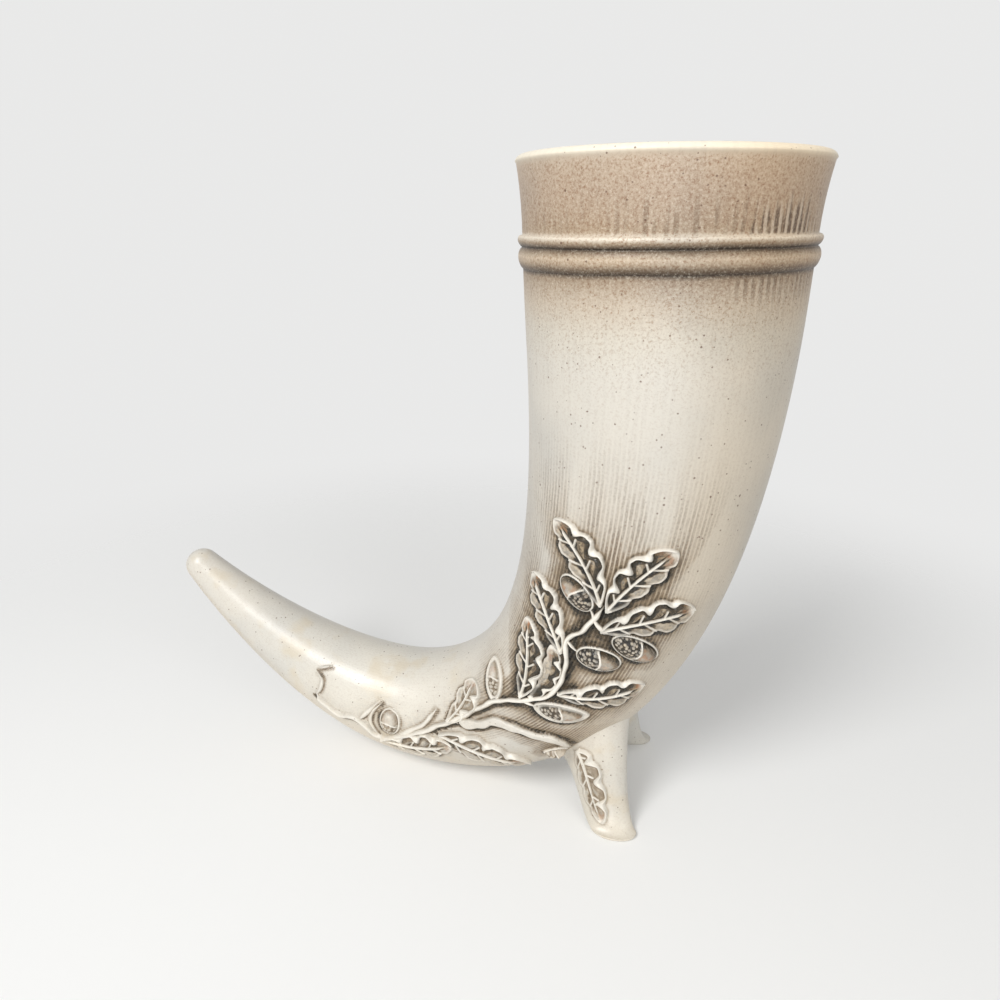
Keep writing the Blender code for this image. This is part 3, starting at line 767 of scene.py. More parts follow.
def leaf_relief(length, width, lobes, up, wash, twist):
    """The relief of a leaf, as heights and marks at some spots: a rim that widens into a cusp at each notch,
    a rib with a vein towards each cusp, and between them pools of wash round a grainy pillow. The rim's white
    crest and tan outer flank are partly painted highlight and painted shade."""
    starts, ends = [], []
    for k in range(1, lobes):
        for side in (1, -1):
            way = "up" if side == up else "low"
            share = (k + (LOW_LOBE_LAG if way == "low" else 0.0)) / lobes
            half = float(blade_half(share, width)) * SIDE_SHARE[way] * (1 - LOBE_DEPTH[way])
            start = np.array([length * (share - 0.10), 0.0])
            notch = np.array([length * share + LOBE_LEAN * half * (1 - share) * share**0.5, side * half])
            starts.append(start)
            ends.append(start + (notch - start) * VEIN_REACH[way])
    starts, ends = np.array(starts), np.array(ends)
    fineness = min(1.0, width / FULL_LEAF_WIDTH)
    ribbed = 1.0 if width > LEAST_RIBBED_WIDTH else 0.0

    def relief(spots, inside):
        share = np.clip(spots[:, 0] / length, 0, 1)
        to_rib = np.abs(spots[:, 1])
        leaned = share
        for _ in range(5):
            leaned = np.clip(share - LOBE_LEAN * to_rib * (1 - leaned) * leaned**0.5 / length, 0, 1)
        upper = smooth_step(-0.0002, 0.0002, spots[:, 1] * up)

        def either(up_value, low_value):
            return low_value + (up_value - low_value) * upper

        notch = either(*(leaf_side(leaned, width, lobes, way, twist)[1] for way in ("up", "low")))
        wave_along = np.sin(spots[:, 0] / 0.0017 + twist)
        wave_across = np.sin(spots[:, 1] / 0.0014 + 2 * twist)
        wavy = 1 + RIM_UNEVEN * wave_along * wave_across
        rim_width = either(*RIM_WIDTH.values()) + either(*CUSP_WIDTH.values()) * notch**1.3
        rim_width = rim_width * wavy * fineness * (1.45 - 0.45 * wash)
        over_rim = np.clip(inside / rim_width, 0, 1)
        depth = inside - rim_width
        rim = np.maximum(np.sin(math.pi * over_rim**0.75), 0) ** 0.8
        to_vein = to_lines(spots, starts, ends).min(1)
        slender = (1.20 - 0.70 * share) * fineness
        rib = ribbed * peak(to_rib, RIB_HALF_WIDTH * slender) * (1 - smooth_step(0.78, 0.92, share))
        vein = ribbed * peak(to_vein, VEIN_HALF_WIDTH * fineness)
        tip = smooth_step(0.90, 0.98, share)
        stalk = 1 - smooth_step(0.03, 0.10, share)
        room = np.minimum.reduce([depth, to_rib - 0.0005, to_vein - 0.0003])
        pillow = np.sqrt(smooth_step(0.0, PILLOW_ROUND, room))
        rim_height = either(*RIM_HEIGHT.values()) * (1 - 0.30 * notch)
        raised = np.maximum.reduce([
            rim * rim_height,
            rib * RIB_HEIGHT,
            vein * VEIN_HEIGHT,
            stalk * STALK_HEIGHT,
        ])
        height = np.maximum(either(*BLADE_FLOOR.values()) + either(*PILLOW_RISE.values()) * pillow, raised)
        height *= (1 - 0.35 * smooth_step(0.80, 1.0, share)) * (0.6 + 0.4 * ribbed)
        ridge = np.maximum.reduce([
            smooth_step(0.00016, -0.00016, depth) * either(1.0, 0.35),
            smooth_step(0.30, 0.60, rib),
            smooth_step(0.30, 0.60, vein) * 0.90,
            tip * 0.90,
            stalk,
        ])
        hollow = (1 - ridge) * (inside > 0)
        foot = peak(np.maximum(depth - 0.0001, 0), 0.00055)
        wedge = smooth_step(0.40, 0.24, share)
        pool = np.maximum(smooth_step(POOL_WIDTH + 0.0006, POOL_WIDTH - 0.0004, depth), wedge)
        beside_rib = ribbed * peak(to_rib - 0.00112 * slender, 0.00038)
        beside_vein = ribbed * peak(to_vein - 0.00085 * fineness, 0.00036)
        corner = ribbed * peak(np.maximum(to_vein - 0.0013, 0) + np.maximum(to_rib - 0.0018, 0), 0.0007)
        dark_up = np.maximum.reduce([0.62 * pool, 0.97 * foot, 0.88 * beside_rib, 0.75 * corner])
        dark_low = np.maximum.reduce([0.88 * beside_rib, 0.95 * corner, 0.72 * wedge])
        dark_low = np.maximum.reduce([dark_low, 0.42 * beside_vein, 0.16 * foot])
        dark = either(dark_up, dark_low) * hollow * wash
        dark *= 1 - 0.85 * smooth_step(0.80, 0.93, share)
        ochre = hollow * (0.25 + 0.75 * wash) * (1 - 0.45 * smooth_step(0.86, 0.97, share))
        ochre *= either(1.0, 0.62)
        # Partly painted shade: tan on the rim's outer flank, where a rounded rim turns from the light.
        flank_shade_tan = either(0.30, 0.55) * smooth_step(0.40, 0.05, over_rim) * (inside > 0) * wash
        rust = hollow * smooth_step(0.70, 0.84, share) * (0.4 + 0.6 * upper) * wash
        # The white on the rim's crest, crisp on the upper side, is where the glaze breaks and is partly
        # painted highlight.
        sharp_edge = smooth_step(0.05, 0.55, rim) * (depth < 0.0001)
        soft_edge = 0.46 * smooth_step(0.0019, 0.0006, inside)
        broken_and_highlit = np.maximum.reduce([
            either(sharp_edge, soft_edge),
            smooth_step(0.35, 0.75, rib) * 0.80,
            smooth_step(0.35, 0.75, vein) * either(0.62, 0.55),
            tip * 0.85,
            stalk * 0.90,
        ])
        white = broken_and_highlit * (inside > 0) * (0.45 + 0.55 * wash)
        return height, np.clip(dark, 0, 1), np.maximum(ochre, flank_shade_tan), white, rust

    return relief


def wash_strength(along):
    """How much wash the spray was given: little of it went on past the heel."""
    return 0.16 + 0.14 * smooth_step(0.300, 0.270, along) + 0.70 * smooth_step(0.250, 0.214, along)


leaf_glaze = glazed("leaf glaze", 0.34, 0.12, 0.46)
for twist, (name, (stalk, tip, width, lobes, bow, wash)) in enumerate(LEAVES.items()):
    length, lay, up = laid_on_horn(stalk, tip, bow)
    outline, weights = leaf_outline(length, width, lobes, up, 1.7 * twist)
    relief = leaf_relief(length, width, lobes, up, wash, twist)
    pressed(name, leaf_glaze, outline, weights * wash, lay, relief, LEAF_PITCH)


# The acorns and the bud: pressed like the leaves. Each lies in a thin raised ring, with a pitted cup at its
# stalk end, a ridge, and a smooth nut. Two of them lie in larger, almond-shaped husks.
# Each acorn: the places of its stalk and its tip, its width, whether it has a husk, and its wash.
ACORNS = {
    "crown_acorn": ((-0.0591, 0.0053), (-0.0680, 0.0197), 0.0104, False, 1.0),
    "heart_acorn": ((-0.0388, 0.0045), (-0.0418, -0.0125), 0.0108, False, 1.0),
    "back_acorn": ((-0.0515, -0.0052), (-0.0470, -0.0246), 0.0108, False, 0.9),
    "heel_acorn": ((-0.0034, 0.0034), (-0.0144, -0.0136), 0.0102, True, 0.75),
    "inner_acorn": ((0.0150, 0.0140), (0.0031, 0.0296), 0.0096, True, 0.35),
    "arm_acorn": ((0.0775, -0.0030), (0.0765, 0.0095), 0.0104, False, 0.28),
    "heel_bud": ((0.0130, -0.0180), (0.0050, -0.0232), 0.0056, False, 0.3),
}
ACORN_DOME = 0.0036
ACORN_CUP = 0.50
ACORN_MARGIN = 0.0011
HUSK_MARGIN = 0.0020
RING_RISE = 0.0011
HUSK_RISE = 0.0013
SEAM_RISE = 0.00045
GRANULE_SPACING = 0.00140
GRANULE_HALF_WIDTH = 0.00056
GRANULE_RISE = 0.00060
ACORN_PITCH = 0.00022


def acorn_outline(length, width, husk):
    """The outline of an acorn's ring, or of its pointed husk."""
    turns = np.linspace(0, 2 * math.pi, 96, endpoint=False)
    bow = 1.30 if husk else 0.90
    x = length / 2 + length * (0.56 if husk else 0.50) * np.cos(turns)
    y = width / 2 * np.sign(np.sin(turns)) * np.abs(np.sin(turns)) ** bow
    return np.stack([x, y], axis=1)


def granules(length, width, draw):
    """The middles of the grains of an acorn's cup: a grid whose points are moved about at random."""
    across = np.arange(-width / 2, width / 2, GRANULE_SPACING)
    columns, rows = np.meshgrid(np.arange(0, length, GRANULE_SPACING), across)
    grid = np.stack([columns.ravel(), rows.ravel()], axis=1)
    return grid + draw.uniform(-0.38, 0.38, grid.shape) * GRANULE_SPACING


def acorn_relief(length, width, husk, up, wash, draw):
    """The relief of an acorn, as heights and marks at some spots: the ring, the domed cup with its grains,
    the ridge at the cup's rim, and the nut."""
    margin = HUSK_MARGIN if husk else ACORN_MARGIN
    half_length, half_width = length / 2 - margin * 0.8, width / 2 - margin
    grains = granules(length, width, draw)
    sizes = draw.uniform(0.55, 1.0, len(grains))

    def relief(spots, inside):
        x = (spots[:, 0] - length / 2) / half_length
        nut = smooth_step(2 * ACORN_CUP - 1, 2 * ACORN_CUP - 0.9, x)
        y = spots[:, 1] / (half_width * (1 - 0.08 * nut))
        out = np.sqrt(x * x + y * y)
        dome = np.sqrt(np.clip(1 - out * out, 0, 1))
        on_dome = smooth_step(1.03, 0.95, out)
        upper = smooth_step(-0.4, 0.5, y * up)
        ring = peak(inside - 0.00042 - 0.00016 * upper, 0.00038 + 0.00014 * upper)
        gaps = np.linalg.norm(spots[:, None, :] - grains[None], axis=-1)
        nearest = gaps.argmin(1)
        bump = peak(gaps.min(1), GRANULE_HALF_WIDTH) * sizes[nearest]
        cup = (1 - nut) * on_dome
        seam = peak(spots[:, 0] - length * (ACORN_CUP + 0.04) + 0.14 * width * y * y, 0.00042) * on_dome
        shadow = peak(spots[:, 0] - length * (ACORN_CUP - 0.025) + 0.14 * width * y * y, 0.00050) * on_dome
        height = 0.0002 + on_dome * dome * ACORN_DOME * (0.75 if husk else 1.0)
        height = height + cup * (bump - 0.4) * GRANULE_RISE + seam * SEAM_RISE - shadow * 0.00030
        height = np.maximum(height, ring * (HUSK_RISE if husk else RING_RISE) * (0.65 + 0.35 * upper))
        collar = smooth_step(0.92, 1.02, out) * (1 - smooth_step(0.35, 0.75, ring))
        crease = collar * (0.25 if husk else 1.0) + peak(out - 1.0, 0.07) * (0.75 if husk else 0.0)
        rest = 1 - smooth_step(0.3, 0.7, seam)
        bare = smooth_step(0.24, 0.60, bump / sizes[nearest])
        dark_cup = cup * (1 - bare) * (0.75 + 0.20 * upper)
        rim_shade = smooth_step(0.55, 0.92, out) * on_dome
        dark_nut = nut * on_dome * (0.30 * rim_shade + 0.16 * upper)
        dark = np.maximum.reduce([crease, rest * (dark_cup + dark_nut), 0.9 * shadow]) * (inside > 0.0001)
        ochre = on_dome * rest * (0.9 * cup + 0.50 * nut) * (0.35 + 0.65 * wash)
        # The ring's white, most of it on the upper side, and the white on the bare tops of the grains are
        # partly painted highlight.
        white = np.maximum.reduce([
            smooth_step(0.40, 0.80, ring) * (0.06 + 0.72 * upper),
            smooth_step(0.3, 0.7, seam) * 0.85,
            cup * bare * (0.62 - 0.26 * wash) * sizes[nearest],
            collar * (0.8 if husk else 0.0),
        ])
        rust = nut * on_dome * 0.60 * wash
        white *= (inside > 0) * (0.55 + 0.45 * wash)
        return height, np.clip(dark * wash, 0, 1), ochre, white, rust

    return relief


acorn_glaze = glazed("acorn glaze", 0.32, 0.12, 0.48)
for seed, (name, (stalk, tip, width, husk, share)) in enumerate(ACORNS.items()):
    length, lay, up = laid_on_horn(stalk, tip)
    outline = acorn_outline(length, width, husk)
    # The acorn's low side gets the heavier weight, which paints a shadow under it into the crease.
    weights = np.where(outline[:, 1] * up > 0, 0.55, 1.0) * (0.25 + 0.75 * share)
    weights *= 1 - 0.60 * smooth_step(0.65, 0.95, outline[:, 0] / length)
    relief = acorn_relief(length, width, husk, up, share, np.random.RandomState(seed))
    pressed(name, acorn_glaze, outline, weights, lay, relief, ACORN_PITCH)


# The twigs, tendrils and stalks: thin rolls of clay, pressed down on to the skin and thinned towards their
# ends. The wash gathers in a dark line along each side of them; on one side the line is kept as painted shade
# where little wash was given. Their white tops and tan edges are partly painted highlight and painted shade.
# Each twig: the places that it passes through, half its width, and its rise.
TWIGS = {
    "main_twig": (
        [
            (0.1155, -0.0016), (0.1093, -0.0040), (0.1035, -0.0050), (0.0949, -0.0020), (0.0890, -0.0032),
            (0.0829, -0.0070), (0.0715, -0.0022), (0.0595, 0.0029), (0.0526, 0.0058), (0.0437, 0.0083),
            (0.0337, 0.0110), (0.0234, 0.0129), (0.0148, 0.0133), (0.0076, 0.0117), (0.0007, 0.0089),
            (-0.0065, 0.0057), (-0.0134, 0.0032), (-0.0190, 0.0030), (-0.0257, 0.0040), (-0.0316, 0.0054),
            (-0.0362, 0.0077), (-0.0412, 0.0092), (-0.0450, 0.0084), (-0.0491, 0.0054), (-0.0536, 0.0043),
            (-0.0577, 0.0029), (-0.0635, 0.0012),
        ],
        0.00112,
        0.0018,
    ),
    "leg_twig": (
        [
            (0.0395, 0.0098), (0.0345, 0.0070), (0.0290, 0.0062), (0.0217, 0.0062), (0.0142, 0.0022),
            (0.0086, -0.0048), (0.0046, -0.0102), (0.0028, -0.0160), (0.0032, -0.0230),
        ],
        0.00205,
        0.0021,
    ),
    "fork_tendril": (
        [(0.0925, -0.0020), (0.0905, 0.0015), (0.0877, 0.0055), (0.0842, 0.0113)],
        0.00100,
        0.0009,
    ),
    "round_tendril": (
        [(0.0822, -0.0060), (0.0864, -0.0006), (0.0863, 0.0052), (0.0825, 0.0107)],
        0.00080,
        0.0008,
    ),
    "arm_tendril": (
        [(0.0729, -0.0020), (0.0650, 0.0025), (0.0581, 0.0070), (0.0519, 0.0132)],
        0.00110,
        0.0010,
    ),
    "tip_curl": (
        [(0.1155, -0.0022), (0.1148, 0.0021), (0.1156, 0.0062), (0.1196, 0.0080)],
        0.00090,
        0.0008,
    ),
    "tip_tick": (
        [(0.1195, 0.0100), (0.1170, 0.0122), (0.1140, 0.0140)],
        0.00080,
        0.0007,
    ),
    "crown_stalk": (
        [(-0.0536, 0.0036), (-0.0566, 0.0038), (-0.0588, 0.0050), (-0.0606, 0.0070)],
        0.00085,
        0.0014,
    ),
    "back_stalk": (
        [(-0.0572, 0.0040), (-0.0544, 0.0014), (-0.0528, -0.0016), (-0.0524, -0.0064)],
        0.00100,
        0.0014,
    ),
    "heart_stalk": (
        [(-0.0424, 0.0102), (-0.0408, 0.0076), (-0.0396, 0.0050), (-0.0392, 0.0024)],
        0.00085,
        0.0014,
    ),
    "heel_stalk": (
        [(0.0010, 0.0102), (-0.0012, 0.0072), (-0.0028, 0.0046), (-0.0044, 0.0020)],
        0.00085,
        0.0014,
    ),
}
TWIG_PITCH = 0.00040
TWIG_COLUMNS = 22
TWIG_TAPER = 0.0065
TWIG_BLUNT_START = 0.0014
TWIG_ROUND_END = 0.0022
BROAD_TWIG = 0.0013
TALL_TWIG = 0.0015


def twig_piece(name, points, half_width, rise, material):
    """A twig on both sides: a strip along a smooth line, raised in the middle, with a skirt at each edge."""
    places = np.array(points)
    steps = np.linalg.norm(np.diff(places, axis=0), axis=1)
    runs = np.concatenate([[0.0], np.cumsum(steps)])
    rows = math.ceil(runs[-1] / TWIG_PITCH)
    shape = bmesh.new()
    bmesh.ops.create_grid(shape, x_segments=rows, y_segments=TWIG_COLUMNS, size=1.0)
    raised = bmesh.ops.extrude_face_region(shape, geom=shape.faces[:])["geom"]
    front = [item for item in raised if isinstance(item, bmesh.types.BMVert)]
    bmesh.ops.translate(shape, vec=(0.0, 0.0, 1.0), verts=front)
    mesh = bpy.data.meshes.new(name)
    shape.to_mesh(mesh)
    shape.free()
    flat = numbers(mesh)
    run = (flat[:, 0] + 1) / 2 * runs[-1]
    reach = half_width + SKIRT

    def line(distance):
        return np.stack([smooth_through(runs, places[:, i], distance) for i in (0, 1)], axis=1)

    here = line(run)
    ahead = line(np.minimum(run + 0.0005, runs[-1])) - line(np.maximum(run - 0.0005, 0.0))
    offset = flat[:, 1] * reach
    lumpy = 1 + 0.10 * np.sin(run / 0.0031) + 0.07 * np.sin(run / 0.00117 + 2)
    from_end = np.minimum(run + TWIG_BLUNT_START, runs[-1] - run)
    tapered = 0.25 + 0.75 * smooth_step(0.0, TWIG_TAPER, from_end)
    slender = half_width * (1 - 0.15 * run / runs[-1]) * lumpy * tapered
    inside = slender - np.abs(offset - 0.14 * half_width * np.sin(run / 0.0019))
    ends = smooth_step(0.0, TWIG_ROUND_END, np.minimum(run, runs[-1] - run))
    round_over = np.sqrt(smooth_step(-0.0002, 0.0009, inside))
    height = skirt_height(inside) + ends * round_over * rise * (1 + 0.10 * np.sin(run / 0.0023 + 1))
    height = np.where(flat[:, 2] > 0.5, height, SUNK)
    across = square_on_skin(here, ahead)
    thrown = on_skin(here + across * offset[:, None], height)
    strength = wash_strength(LEG_STATION + here[:, 0])
    narrow = min(1.0, BROAD_TWIG / half_width)
    # The white along the top is where the glaze breaks and is partly painted highlight; the tan at the edges
    # is partly painted shade on the rounded flanks.
    white = smooth_step(-0.0001, 0.0003, inside) * ends * (0.10 + 0.85 * strength) * narrow**1.5
    tan = smooth_step(0.0008, 0.0001, inside) * (inside > 0)
    none = np.zeros(len(white))
    tan = np.maximum(tan * (0.2 + 0.3 * strength), 0.40 * (1 - narrow) * (inside > 0))
    keep(name, material, mesh, thrown, inside, (none, tan, white, none))
    middle = line(np.linspace(0, runs[-1], max(4, rows // 2)))
    wash = wash_strength(LEG_STATION + middle[:, 0])
    # Painted shade: the line on one side is kept at least this dark beside the raised twig where little wash
    # was given.
    least = 0.74 if rise > TALL_TWIG else 0.34
    for side, weight in ((-1, 0.60 * wash), (1, np.maximum(wash, least))):
        beside = square_on_skin(middle, np.gradient(middle, axis=0)) * side * half_width * 0.9
        wash_and_shadow_points.append(on_skin(middle + beside, np.zeros(len(middle))))
        wash_and_shadow_weights.append(weight)


twig_glaze = glazed("twig glaze", 0.34, 0.20, 0.46)
for name, (points, half_width, rise) in TWIGS.items():
    twig_piece(name, points, half_width, rise, twig_glaze)


# The legs: two short splayed legs of the same clay, luted under the heel. Each flares where it meets the
# horn, has a flat foot, and carries a small leaf down its outer face.
LEG_ROOT_ANGLE = math.radians(-61)
LEG_ROOT_LENGTH = 0.029
LEG_ROOT_WIDTH = 0.023
LEG_FLARE_RISE = 0.0030
LEG_FLARE_SHARE = 0.76
LEG_KNEE_SHARE = 0.42
FOOT_FORWARD = 0.0105
FOOT_OUTWARD = 0.0150
FOOT_LENGTH = 0.0190
FOOT_WIDTH = 0.0115
FOOT_EDGE = 0.0012
LEG_LEAF_START = 0.11
LEG_LEAF_END = 0.82
LEG_LEAF_WIDTH = 0.0104
LEG_LEAF_LOBES = 4
LEG_LEAF_LEAN = (-0.0022, -0.0012)
LEG_LEAF_WASH = 0.32
LEG_LEAF_TWIST = 0.6
LEG_LEAF_THINNED = 0.72
LEG_RINGS = 48
LEG_SEGMENTS = 72
ROOT_RING_SHARES = [0.3, 0.65]
ROOT_SUNK = -0.0008
FOOT_EDGE_RINGS = 4
# A leg's skin is given to the glaze as if it were this much farther down, past the bands of the mouth.
LEG_LIFT = np.array([0.0, 0.0, 0.300])
leg_root = np.array([0.0, np.interp(LEG_STATION, axis_along, axis_radius) * LEG_ROOT_ANGLE])
leg_middle = bent(on_skin(leg_root, 0.0))
foot_centre = leg_middle + (FOOT_FORWARD, -FOOT_OUTWARD, 0.0)


def leg_root_point(turn, share, height):
    """Points over the leg's root on the horn's skin. The share is 0 at the middle and 1 at the rim."""
    along = leg_root[0] - share * LEG_ROOT_LENGTH / 2 * np.cos(turn)
    around = leg_root[1] - share * LEG_ROOT_WIDTH / 2 * np.sin(turn)
    return bent(on_skin(np.stack([along, around], axis=-1), height))


def foot_point(turn, inset, height):
    """Points on the foot's oval outline, drawn in by an inset."""
    x = foot_centre[0] + (FOOT_LENGTH / 2 - inset) * np.cos(turn)
    y = foot_centre[1] + (FOOT_WIDTH / 2 - inset) * np.sin(turn)
    return np.stack([x, y, np.broadcast_to(height, x.shape)], axis=-1)


def leg_skin(share, turn):
    """Points on the leg's side, from the flare at its root, share 0, to the foot, share 1."""
    root = leg_root_point(turn, 1.0, -0.0002)
    flared = leg_root_point(turn, LEG_FLARE_SHARE, LEG_FLARE_RISE)
    foot = foot_point(turn, 0.0, FOOT_EDGE)
    middle = leg_middle + (foot_centre - leg_middle) * LEG_KNEE_SHARE
    knee = foot + middle - foot_centre
    t = share[..., None]
    return root * (1 - t) ** 3 + flared * 3 * t * (1 - t) ** 2 + knee * 3 * t**2 * (1 - t) + foot * t**3


def on_leg(places, height):
    """Points above the leg's outer face, for places (share of its height, metres around)."""
    share = places[:, 0]
    turn = -math.pi / 2 + places[:, 1] / (FOOT_LENGTH / 2)
    down = leg_skin(share + 0.01, turn) - leg_skin(share - 0.01, turn)
    sideways = leg_skin(share, turn + 0.01) - leg_skin(share, turn - 0.01)
    outwards = -np.cross(sideways, down)
    outwards /= np.linalg.norm(outwards, axis=1, keepdims=True)
    return leg_skin(share, turn) + outwards * np.reshape(height, (-1, 1))


def leg_mesh():
    """A near leg: a tube of rings from the middle of its root, out over the flare, and down to the foot."""
    shape = bmesh.new()
    bmesh.ops.create_circle(shape, cap_ends=False, segments=LEG_SEGMENTS, radius=1.0)
    loop = shape.edges[:]
    count = len(ROOT_RING_SHARES) + LEG_RINGS + 1 + FOOT_EDGE_RINGS
    for _ in range(count - 1):
        grown = bmesh.ops.extrude_edge_only(shape, edges=loop)["geom"]
        loop = [item for item in grown if isinstance(item, bmesh.types.BMEdge)]
        verts = [item for item in grown if isinstance(item, bmesh.types.BMVert)]
        bmesh.ops.translate(shape, vec=(0.0, 0.0, 1.0), verts=verts)
    bmesh.ops.holes_fill(shape, edges=[edge for edge in shape.edges if edge.is_boundary], sides=0)
    mesh = bpy.data.meshes.new("leg")
    shape.to_mesh(mesh)
    shape.free()
    flat = numbers(mesh)
    turn = np.arctan2(flat[:, 1], flat[:, 0])
    ring = np.round(flat[:, 2]).astype(int)
    places = np.empty_like(flat)
    for i in range(count):
        here = ring == i
        down = i - len(ROOT_RING_SHARES)
        if down < 0:
            places[here] = leg_root_point(turn[here], ROOT_RING_SHARES[i], ROOT_SUNK)
        elif down <= LEG_RINGS:
            places[here] = leg_skin(np.full(here.sum(), down / LEG_RINGS), turn[here])
        else:
            lean = (down - LEG_RINGS) / FOOT_EDGE_RINGS * math.pi / 2
            height = FOOT_EDGE * (1 - math.sin(lean))
            places[here] = foot_point(turn[here], FOOT_EDGE * (1 - math.cos(lean)), height)
    return mesh, places


def lifted(thrown):
    """Places of a leg as the glaze has them, moved to where they are."""
    return thrown + LEG_LIFT


leg_glaze = glazed("leg glaze", 0.36, 0.24, 0.48)
mesh, leg_places = leg_mesh()
outside = np.full(len(leg_places), -1.0)
unwashed = [np.zeros(len(leg_places))] * 4
keep("leg", leg_glaze, mesh, leg_places - LEG_LIFT, outside, unwashed, surface=lifted)
ends = on_leg(np.array([[LEG_LEAF_START, 0.0], [LEG_LEAF_END, 0.0]]), np.zeros(2))
leaf_length = float(np.linalg.norm(ends[1] - ends[0]))


def lay_on_leg(spots, height):
    """Places of the leg leaf's own plane, laid down the leg's outer face at heights."""
    run = spots[:, 0] / leaf_length
    lean = LEG_LEAF_LEAN[0] + (LEG_LEAF_LEAN[1] - LEG_LEAF_LEAN[0]) * run
    share = LEG_LEAF_START + (LEG_LEAF_END - LEG_LEAF_START) * run
    return on_leg(np.stack([share, spots[:, 1] + lean], axis=1), height) - LEG_LIFT


leg_leaf = (leaf_length, LEG_LEAF_WIDTH, LEG_LEAF_LOBES, 1)
outline, weights = leaf_outline(*leg_leaf, LEG_LEAF_TWIST)
relief = leaf_relief(*leg_leaf, LEG_LEAF_WASH, LEG_LEAF_TWIST)
mesh, spots, inside, front = pressed_plate(outline, LEAF_PITCH)
height, *marks = relief(spots, inside)
edge = smooth_step(-0.0003, 0.00070, inside)
height = skirt_height(inside) + edge * (height * LEG_LEAF_THINNED - SKIRT_LIFT)
thrown = lay_on_leg(spots, np.where(front, height, SUNK))
keep("leg_leaf", leaf_glaze, mesh, thrown, inside, marks, surface=lifted)
leg_leaf_points = lay_on_leg(outline, np.zeros(len(outline))) + LEG_LIFT


# The brown wash: brushed over the whole spray before the glaze and wiped back, so that it stays in the
# creases beside each sprig, in the combed grooves above the spray, and as a grainy tan on the ground between
# the leaves. Its dark also holds painted shadow under the sprigs' low edges and painted shade where the sprigs
# crowd together.
CREASE_INSET = 0.00045
EVENED_REACH = 0.0080
CROWDED = 95.0
CREASE_WIDTH = 0.00100
SHADE_REACH = 0.0036
GROUND_REACH = 0.0056
HALO_REACH = 0.0108
HALO_STRETCH = 0.40
HALO_PASS = 1.2
WASH_TOP = 0.185
WASH_FADE = 0.045
WASHED_STATIONS = (0.255, 0.212)
SHADE_STRENGTH = 0.70
SHADE_CROWDING = (0.20, 0.85)
GROUND_STRENGTH = 0.92
HALO_CROWDING = (0.02, 0.26)
HEEL_SIDE = (-0.95, -0.40)
WIPED_MIDDLE = (0.0150, 0.0080)
WIPED_REACH = 0.0085
WIPED_SHARE = 0.62
LEG_LEAF_STAIN = 0.16

wiped_middle = bent(on_skin(np.array(WIPED_MIDDLE), 0.0))


def tree_of(points):
    """Some points, ready to be searched for the nearest."""
    tree = KDTree(len(points))
    for i, point in enumerate(points):
        tree.insert(point, i)
    tree.balance()
    return tree


outline_places = np.concatenate([bent(np.concatenate(wash_and_shadow_points)), leg_leaf_points])
weights = np.concatenate([*wash_and_shadow_weights, np.full(len(leg_leaf_points), LEG_LEAF_STAIN)])
near_outline = tree_of(outline_places)
near_thrown = tree_of(np.concatenate(wash_and_shadow_points) * (1, 1, HALO_STRETCH))
crowds = ([i for _, i, _ in near_outline.find_range(place, EVENED_REACH)] for place in outline_places)
evened = np.array([min(1.0, weights[crowd].sum() / CROWDED) for crowd in crowds])


def wash_round(mesh):
    """The wash on the ground round the spray, at each vertex of a mesh: dark, which also holds painted shadow
    and shade, ochre and halo.
    """
    count = len(mesh.vertices)
    places = numbers(mesh)
    thrown = np.empty(count * 3, dtype=np.float32)
    mesh.attributes["thrown"].data.foreach_get("vector", thrown)
    thrown = thrown.reshape(-1, 3).astype(float)
    places[:, 1] = -np.abs(places[:, 1])
    along = -thrown[:, 2]
    thrown[:, 0] = np.abs(thrown[:, 0])
    thrown[:, 2] *= HALO_STRETCH
    distance, weight, around = np.full(count, 1.0), np.zeros(count), np.zeros(count)
    far_distance, far_weight = np.full(count, 1.0), np.zeros(count)
    for i in np.nonzero(places[:, 2] < WASH_TOP)[0]:
        _, nearest, distance[i] = near_outline.find(places[i])
        weight[i], around[i] = weights[nearest], evened[nearest]
        spot, nearest, far_distance[i] = near_thrown.find(thrown[i])
        far_distance[i] += HALO_PASS * max(0.0, spot.z - thrown[i, 2])
        far_weight[i] = evened[nearest]
    # The dark line outside each outline is the wash in the crease, and where the weight is high, under low
    # edges, painted shadow.
    reach = CREASE_WIDTH * (0.55 + 0.85 * weight)
    crease = weight * peak(np.maximum(distance - CREASE_INSET, 0), reach)
    washed = 0.15 + 0.85 * smooth_step(*WASHED_STATIONS, along)
    shade = SHADE_STRENGTH * washed * smooth_step(*SHADE_CROWDING, around) * peak(distance, SHADE_REACH)
    ground = np.minimum(1.0, around * 1.3) * peak(distance, GROUND_REACH) * (0.4 + 0.6 * washed)
    halo = smooth_step(*HALO_CROWDING, far_weight) * washed**1.5 * np.exp(-far_distance / HALO_REACH)
    halo *= smooth_step(WASH_TOP, WASH_TOP - WASH_FADE, places[:, 2])
    facing = smooth_step(*HEEL_SIDE, np.arctan2(thrown[:, 1], thrown[:, 0]))
    halo *= 0.30 + 0.70 * facing
    ground *= 0.60 + 0.40 * facing
    from_plate = np.linalg.norm(places - wiped_middle, axis=1)
    wiped = 1 - WIPED_SHARE * peak(from_plate, WIPED_REACH)
    return np.maximum(crease, shade * wiped), ground * GROUND_STRENGTH * wiped, halo * wiped


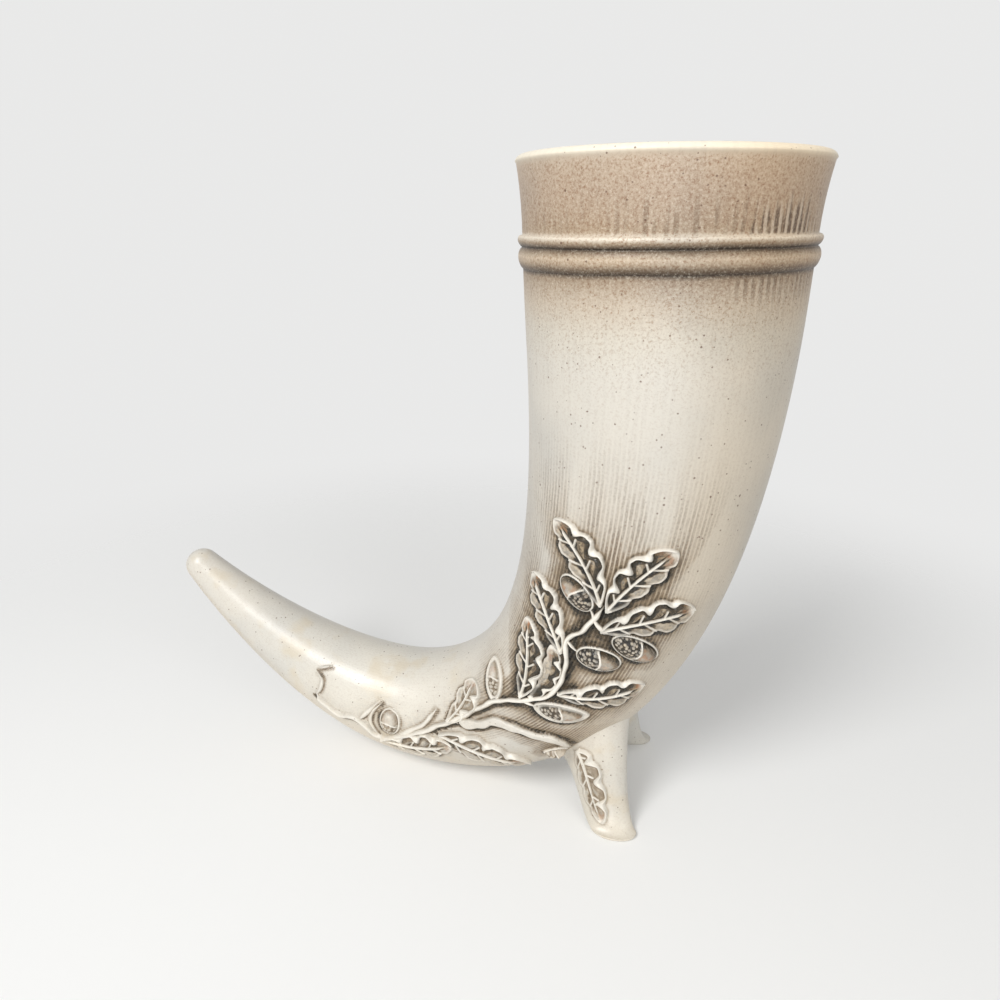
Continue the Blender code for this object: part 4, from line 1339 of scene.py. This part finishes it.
dark, ochre, halo = wash_round(horn_mesh)
nothing = np.zeros(len(dark))
set_mark(horn_mesh, "wash", np.stack([dark, ochre, nothing], axis=1))
set_mark(horn_mesh, "stain", np.stack([halo, nothing, nothing], axis=1))
for pair, inside, marks in sprigs:
    dark, ochre, halo = wash_round(pair[0].data)
    own = smooth_step(-0.00015, 0.00025, inside)
    ground = np.stack([dark, ochre, np.zeros(len(dark))], axis=1)
    wash = ground * (1 - own[:, None]) + marks[:, :3] * own[:, None]
    stain = np.stack([halo * (1 - own), marks[:, 3] * own, own], axis=1)
    for piece in pair:
        set_mark(piece.data, "wash", wash)
        set_mark(piece.data, "stain", stain)


# The studio: a pale paper floor that fades into a pale surrounding, a large soft light from the upper left
# front, a weaker fill from the right, and another low in front.
FLOOR_COLOUR = (0.80, 0.80, 0.79, 1.0)
FIBRE_COLOUR = (0.70, 0.70, 0.70, 1.0)
BACKGROUND = (0.86, 0.86, 0.855, 1.0)
FLOOR_GLOW = 0.16
FADE_START = 0.15
FADE_END = 0.50
SKY_LIGHT = 0.46
SKY_SEEN = 0.95


def studio_light(name, place, aim, size, power):
    """A round soft light at a place, turned to what it is aimed at."""
    data = bpy.data.lights.new(name, "AREA")
    data.shape = "DISK"
    data.size = size
    data.energy = power
    light = bpy.data.objects.new(name, data)
    light.location = place
    light.rotation_euler = (Vector(aim) - Vector(place)).to_track_quat("-Z", "Y").to_euler()
    bpy.context.scene.collection.objects.link(light)


floor_shape = bmesh.new()
bmesh.ops.create_circle(floor_shape, cap_ends=True, segments=64, radius=1.2)
floor_mesh = bpy.data.meshes.new("floor")
floor_shape.to_mesh(floor_mesh)
floor_shape.free()
floor_paper = bpy.data.materials.new("floor paper")
floor_paper.use_nodes = True
paper = floor_paper.node_tree
on_floor = add(paper, "TexCoord").outputs["Object"]
tone = mixed(paper, product(paper, noise(paper, on_floor, 0.004, 3.0), 0.06), FLOOR_COLOUR, FIBRE_COLOUR)
paper_shader = paper.nodes["Principled BSDF"]
paper.links.new(tone, paper_shader.inputs["Base Color"])
from_middle = add(paper, "VectorMath", {0: on_floor}, operation="LENGTH").outputs["Value"]
paper.links.new(stepped(paper, from_middle, FADE_START, FADE_END, 1.0, 0.0), paper_shader.inputs["Alpha"])
rays = add(paper, "LightPath").outputs
seen_floor = sums(paper, "MAXIMUM", rays["Is Camera Ray"], rays["Is Glossy Ray"])
paper.links.new(product(paper, seen_floor, FLOOR_GLOW), paper_shader.inputs["Emission Strength"])
paper_shader.inputs["Emission Color"].default_value = FLOOR_COLOUR
paper_shader.inputs["Roughness"].default_value = 0.9
paper_shader.inputs["Specular IOR Level"].default_value = 0.2
floor_mesh.materials.append(floor_paper)
floor = bpy.data.objects.new("floor", floor_mesh)
bpy.context.scene.collection.objects.link(floor)

world = bpy.data.worlds.new("studio")
bpy.context.scene.world = world
world.use_nodes = True
air = world.node_tree
sky = air.nodes["Background"]
rays = add(air, "LightPath").outputs
seen = sums(air, "MAXIMUM", rays["Is Camera Ray"], rays["Is Glossy Ray"])
air.links.new(stepped(air, seen, 0.0, 1.0, SKY_LIGHT, SKY_SEEN), sky.inputs["Strength"])
sky.inputs["Color"].default_value = BACKGROUND

studio_light("key", (-0.42, -0.95, 1.05), (0.03, 0.0, 0.12), 0.6, 12.8)
studio_light("fill", (1.0, -0.9, 0.7), (0.03, 0.0, 0.12), 0.9, 3.4)
studio_light("low_fill", (0.15, -1.1, 0.16), (0.05, 0.0, 0.06), 0.5, 3.2)

camera_data = bpy.data.cameras.new("camera")
camera_data.lens = 27.36
camera_data.sensor_width = 36.0
camera_data.clip_start = 0.01
camera = bpy.data.objects.new("camera", camera_data)
camera.location = (0.1021, -0.2825, 0.2387)
camera.rotation_euler = (math.radians(69.6), 0.0, math.radians(15.67))
bpy.context.scene.collection.objects.link(camera)
bpy.context.scene.camera = camera
bpy.context.scene.view_settings.view_transform = "Standard"
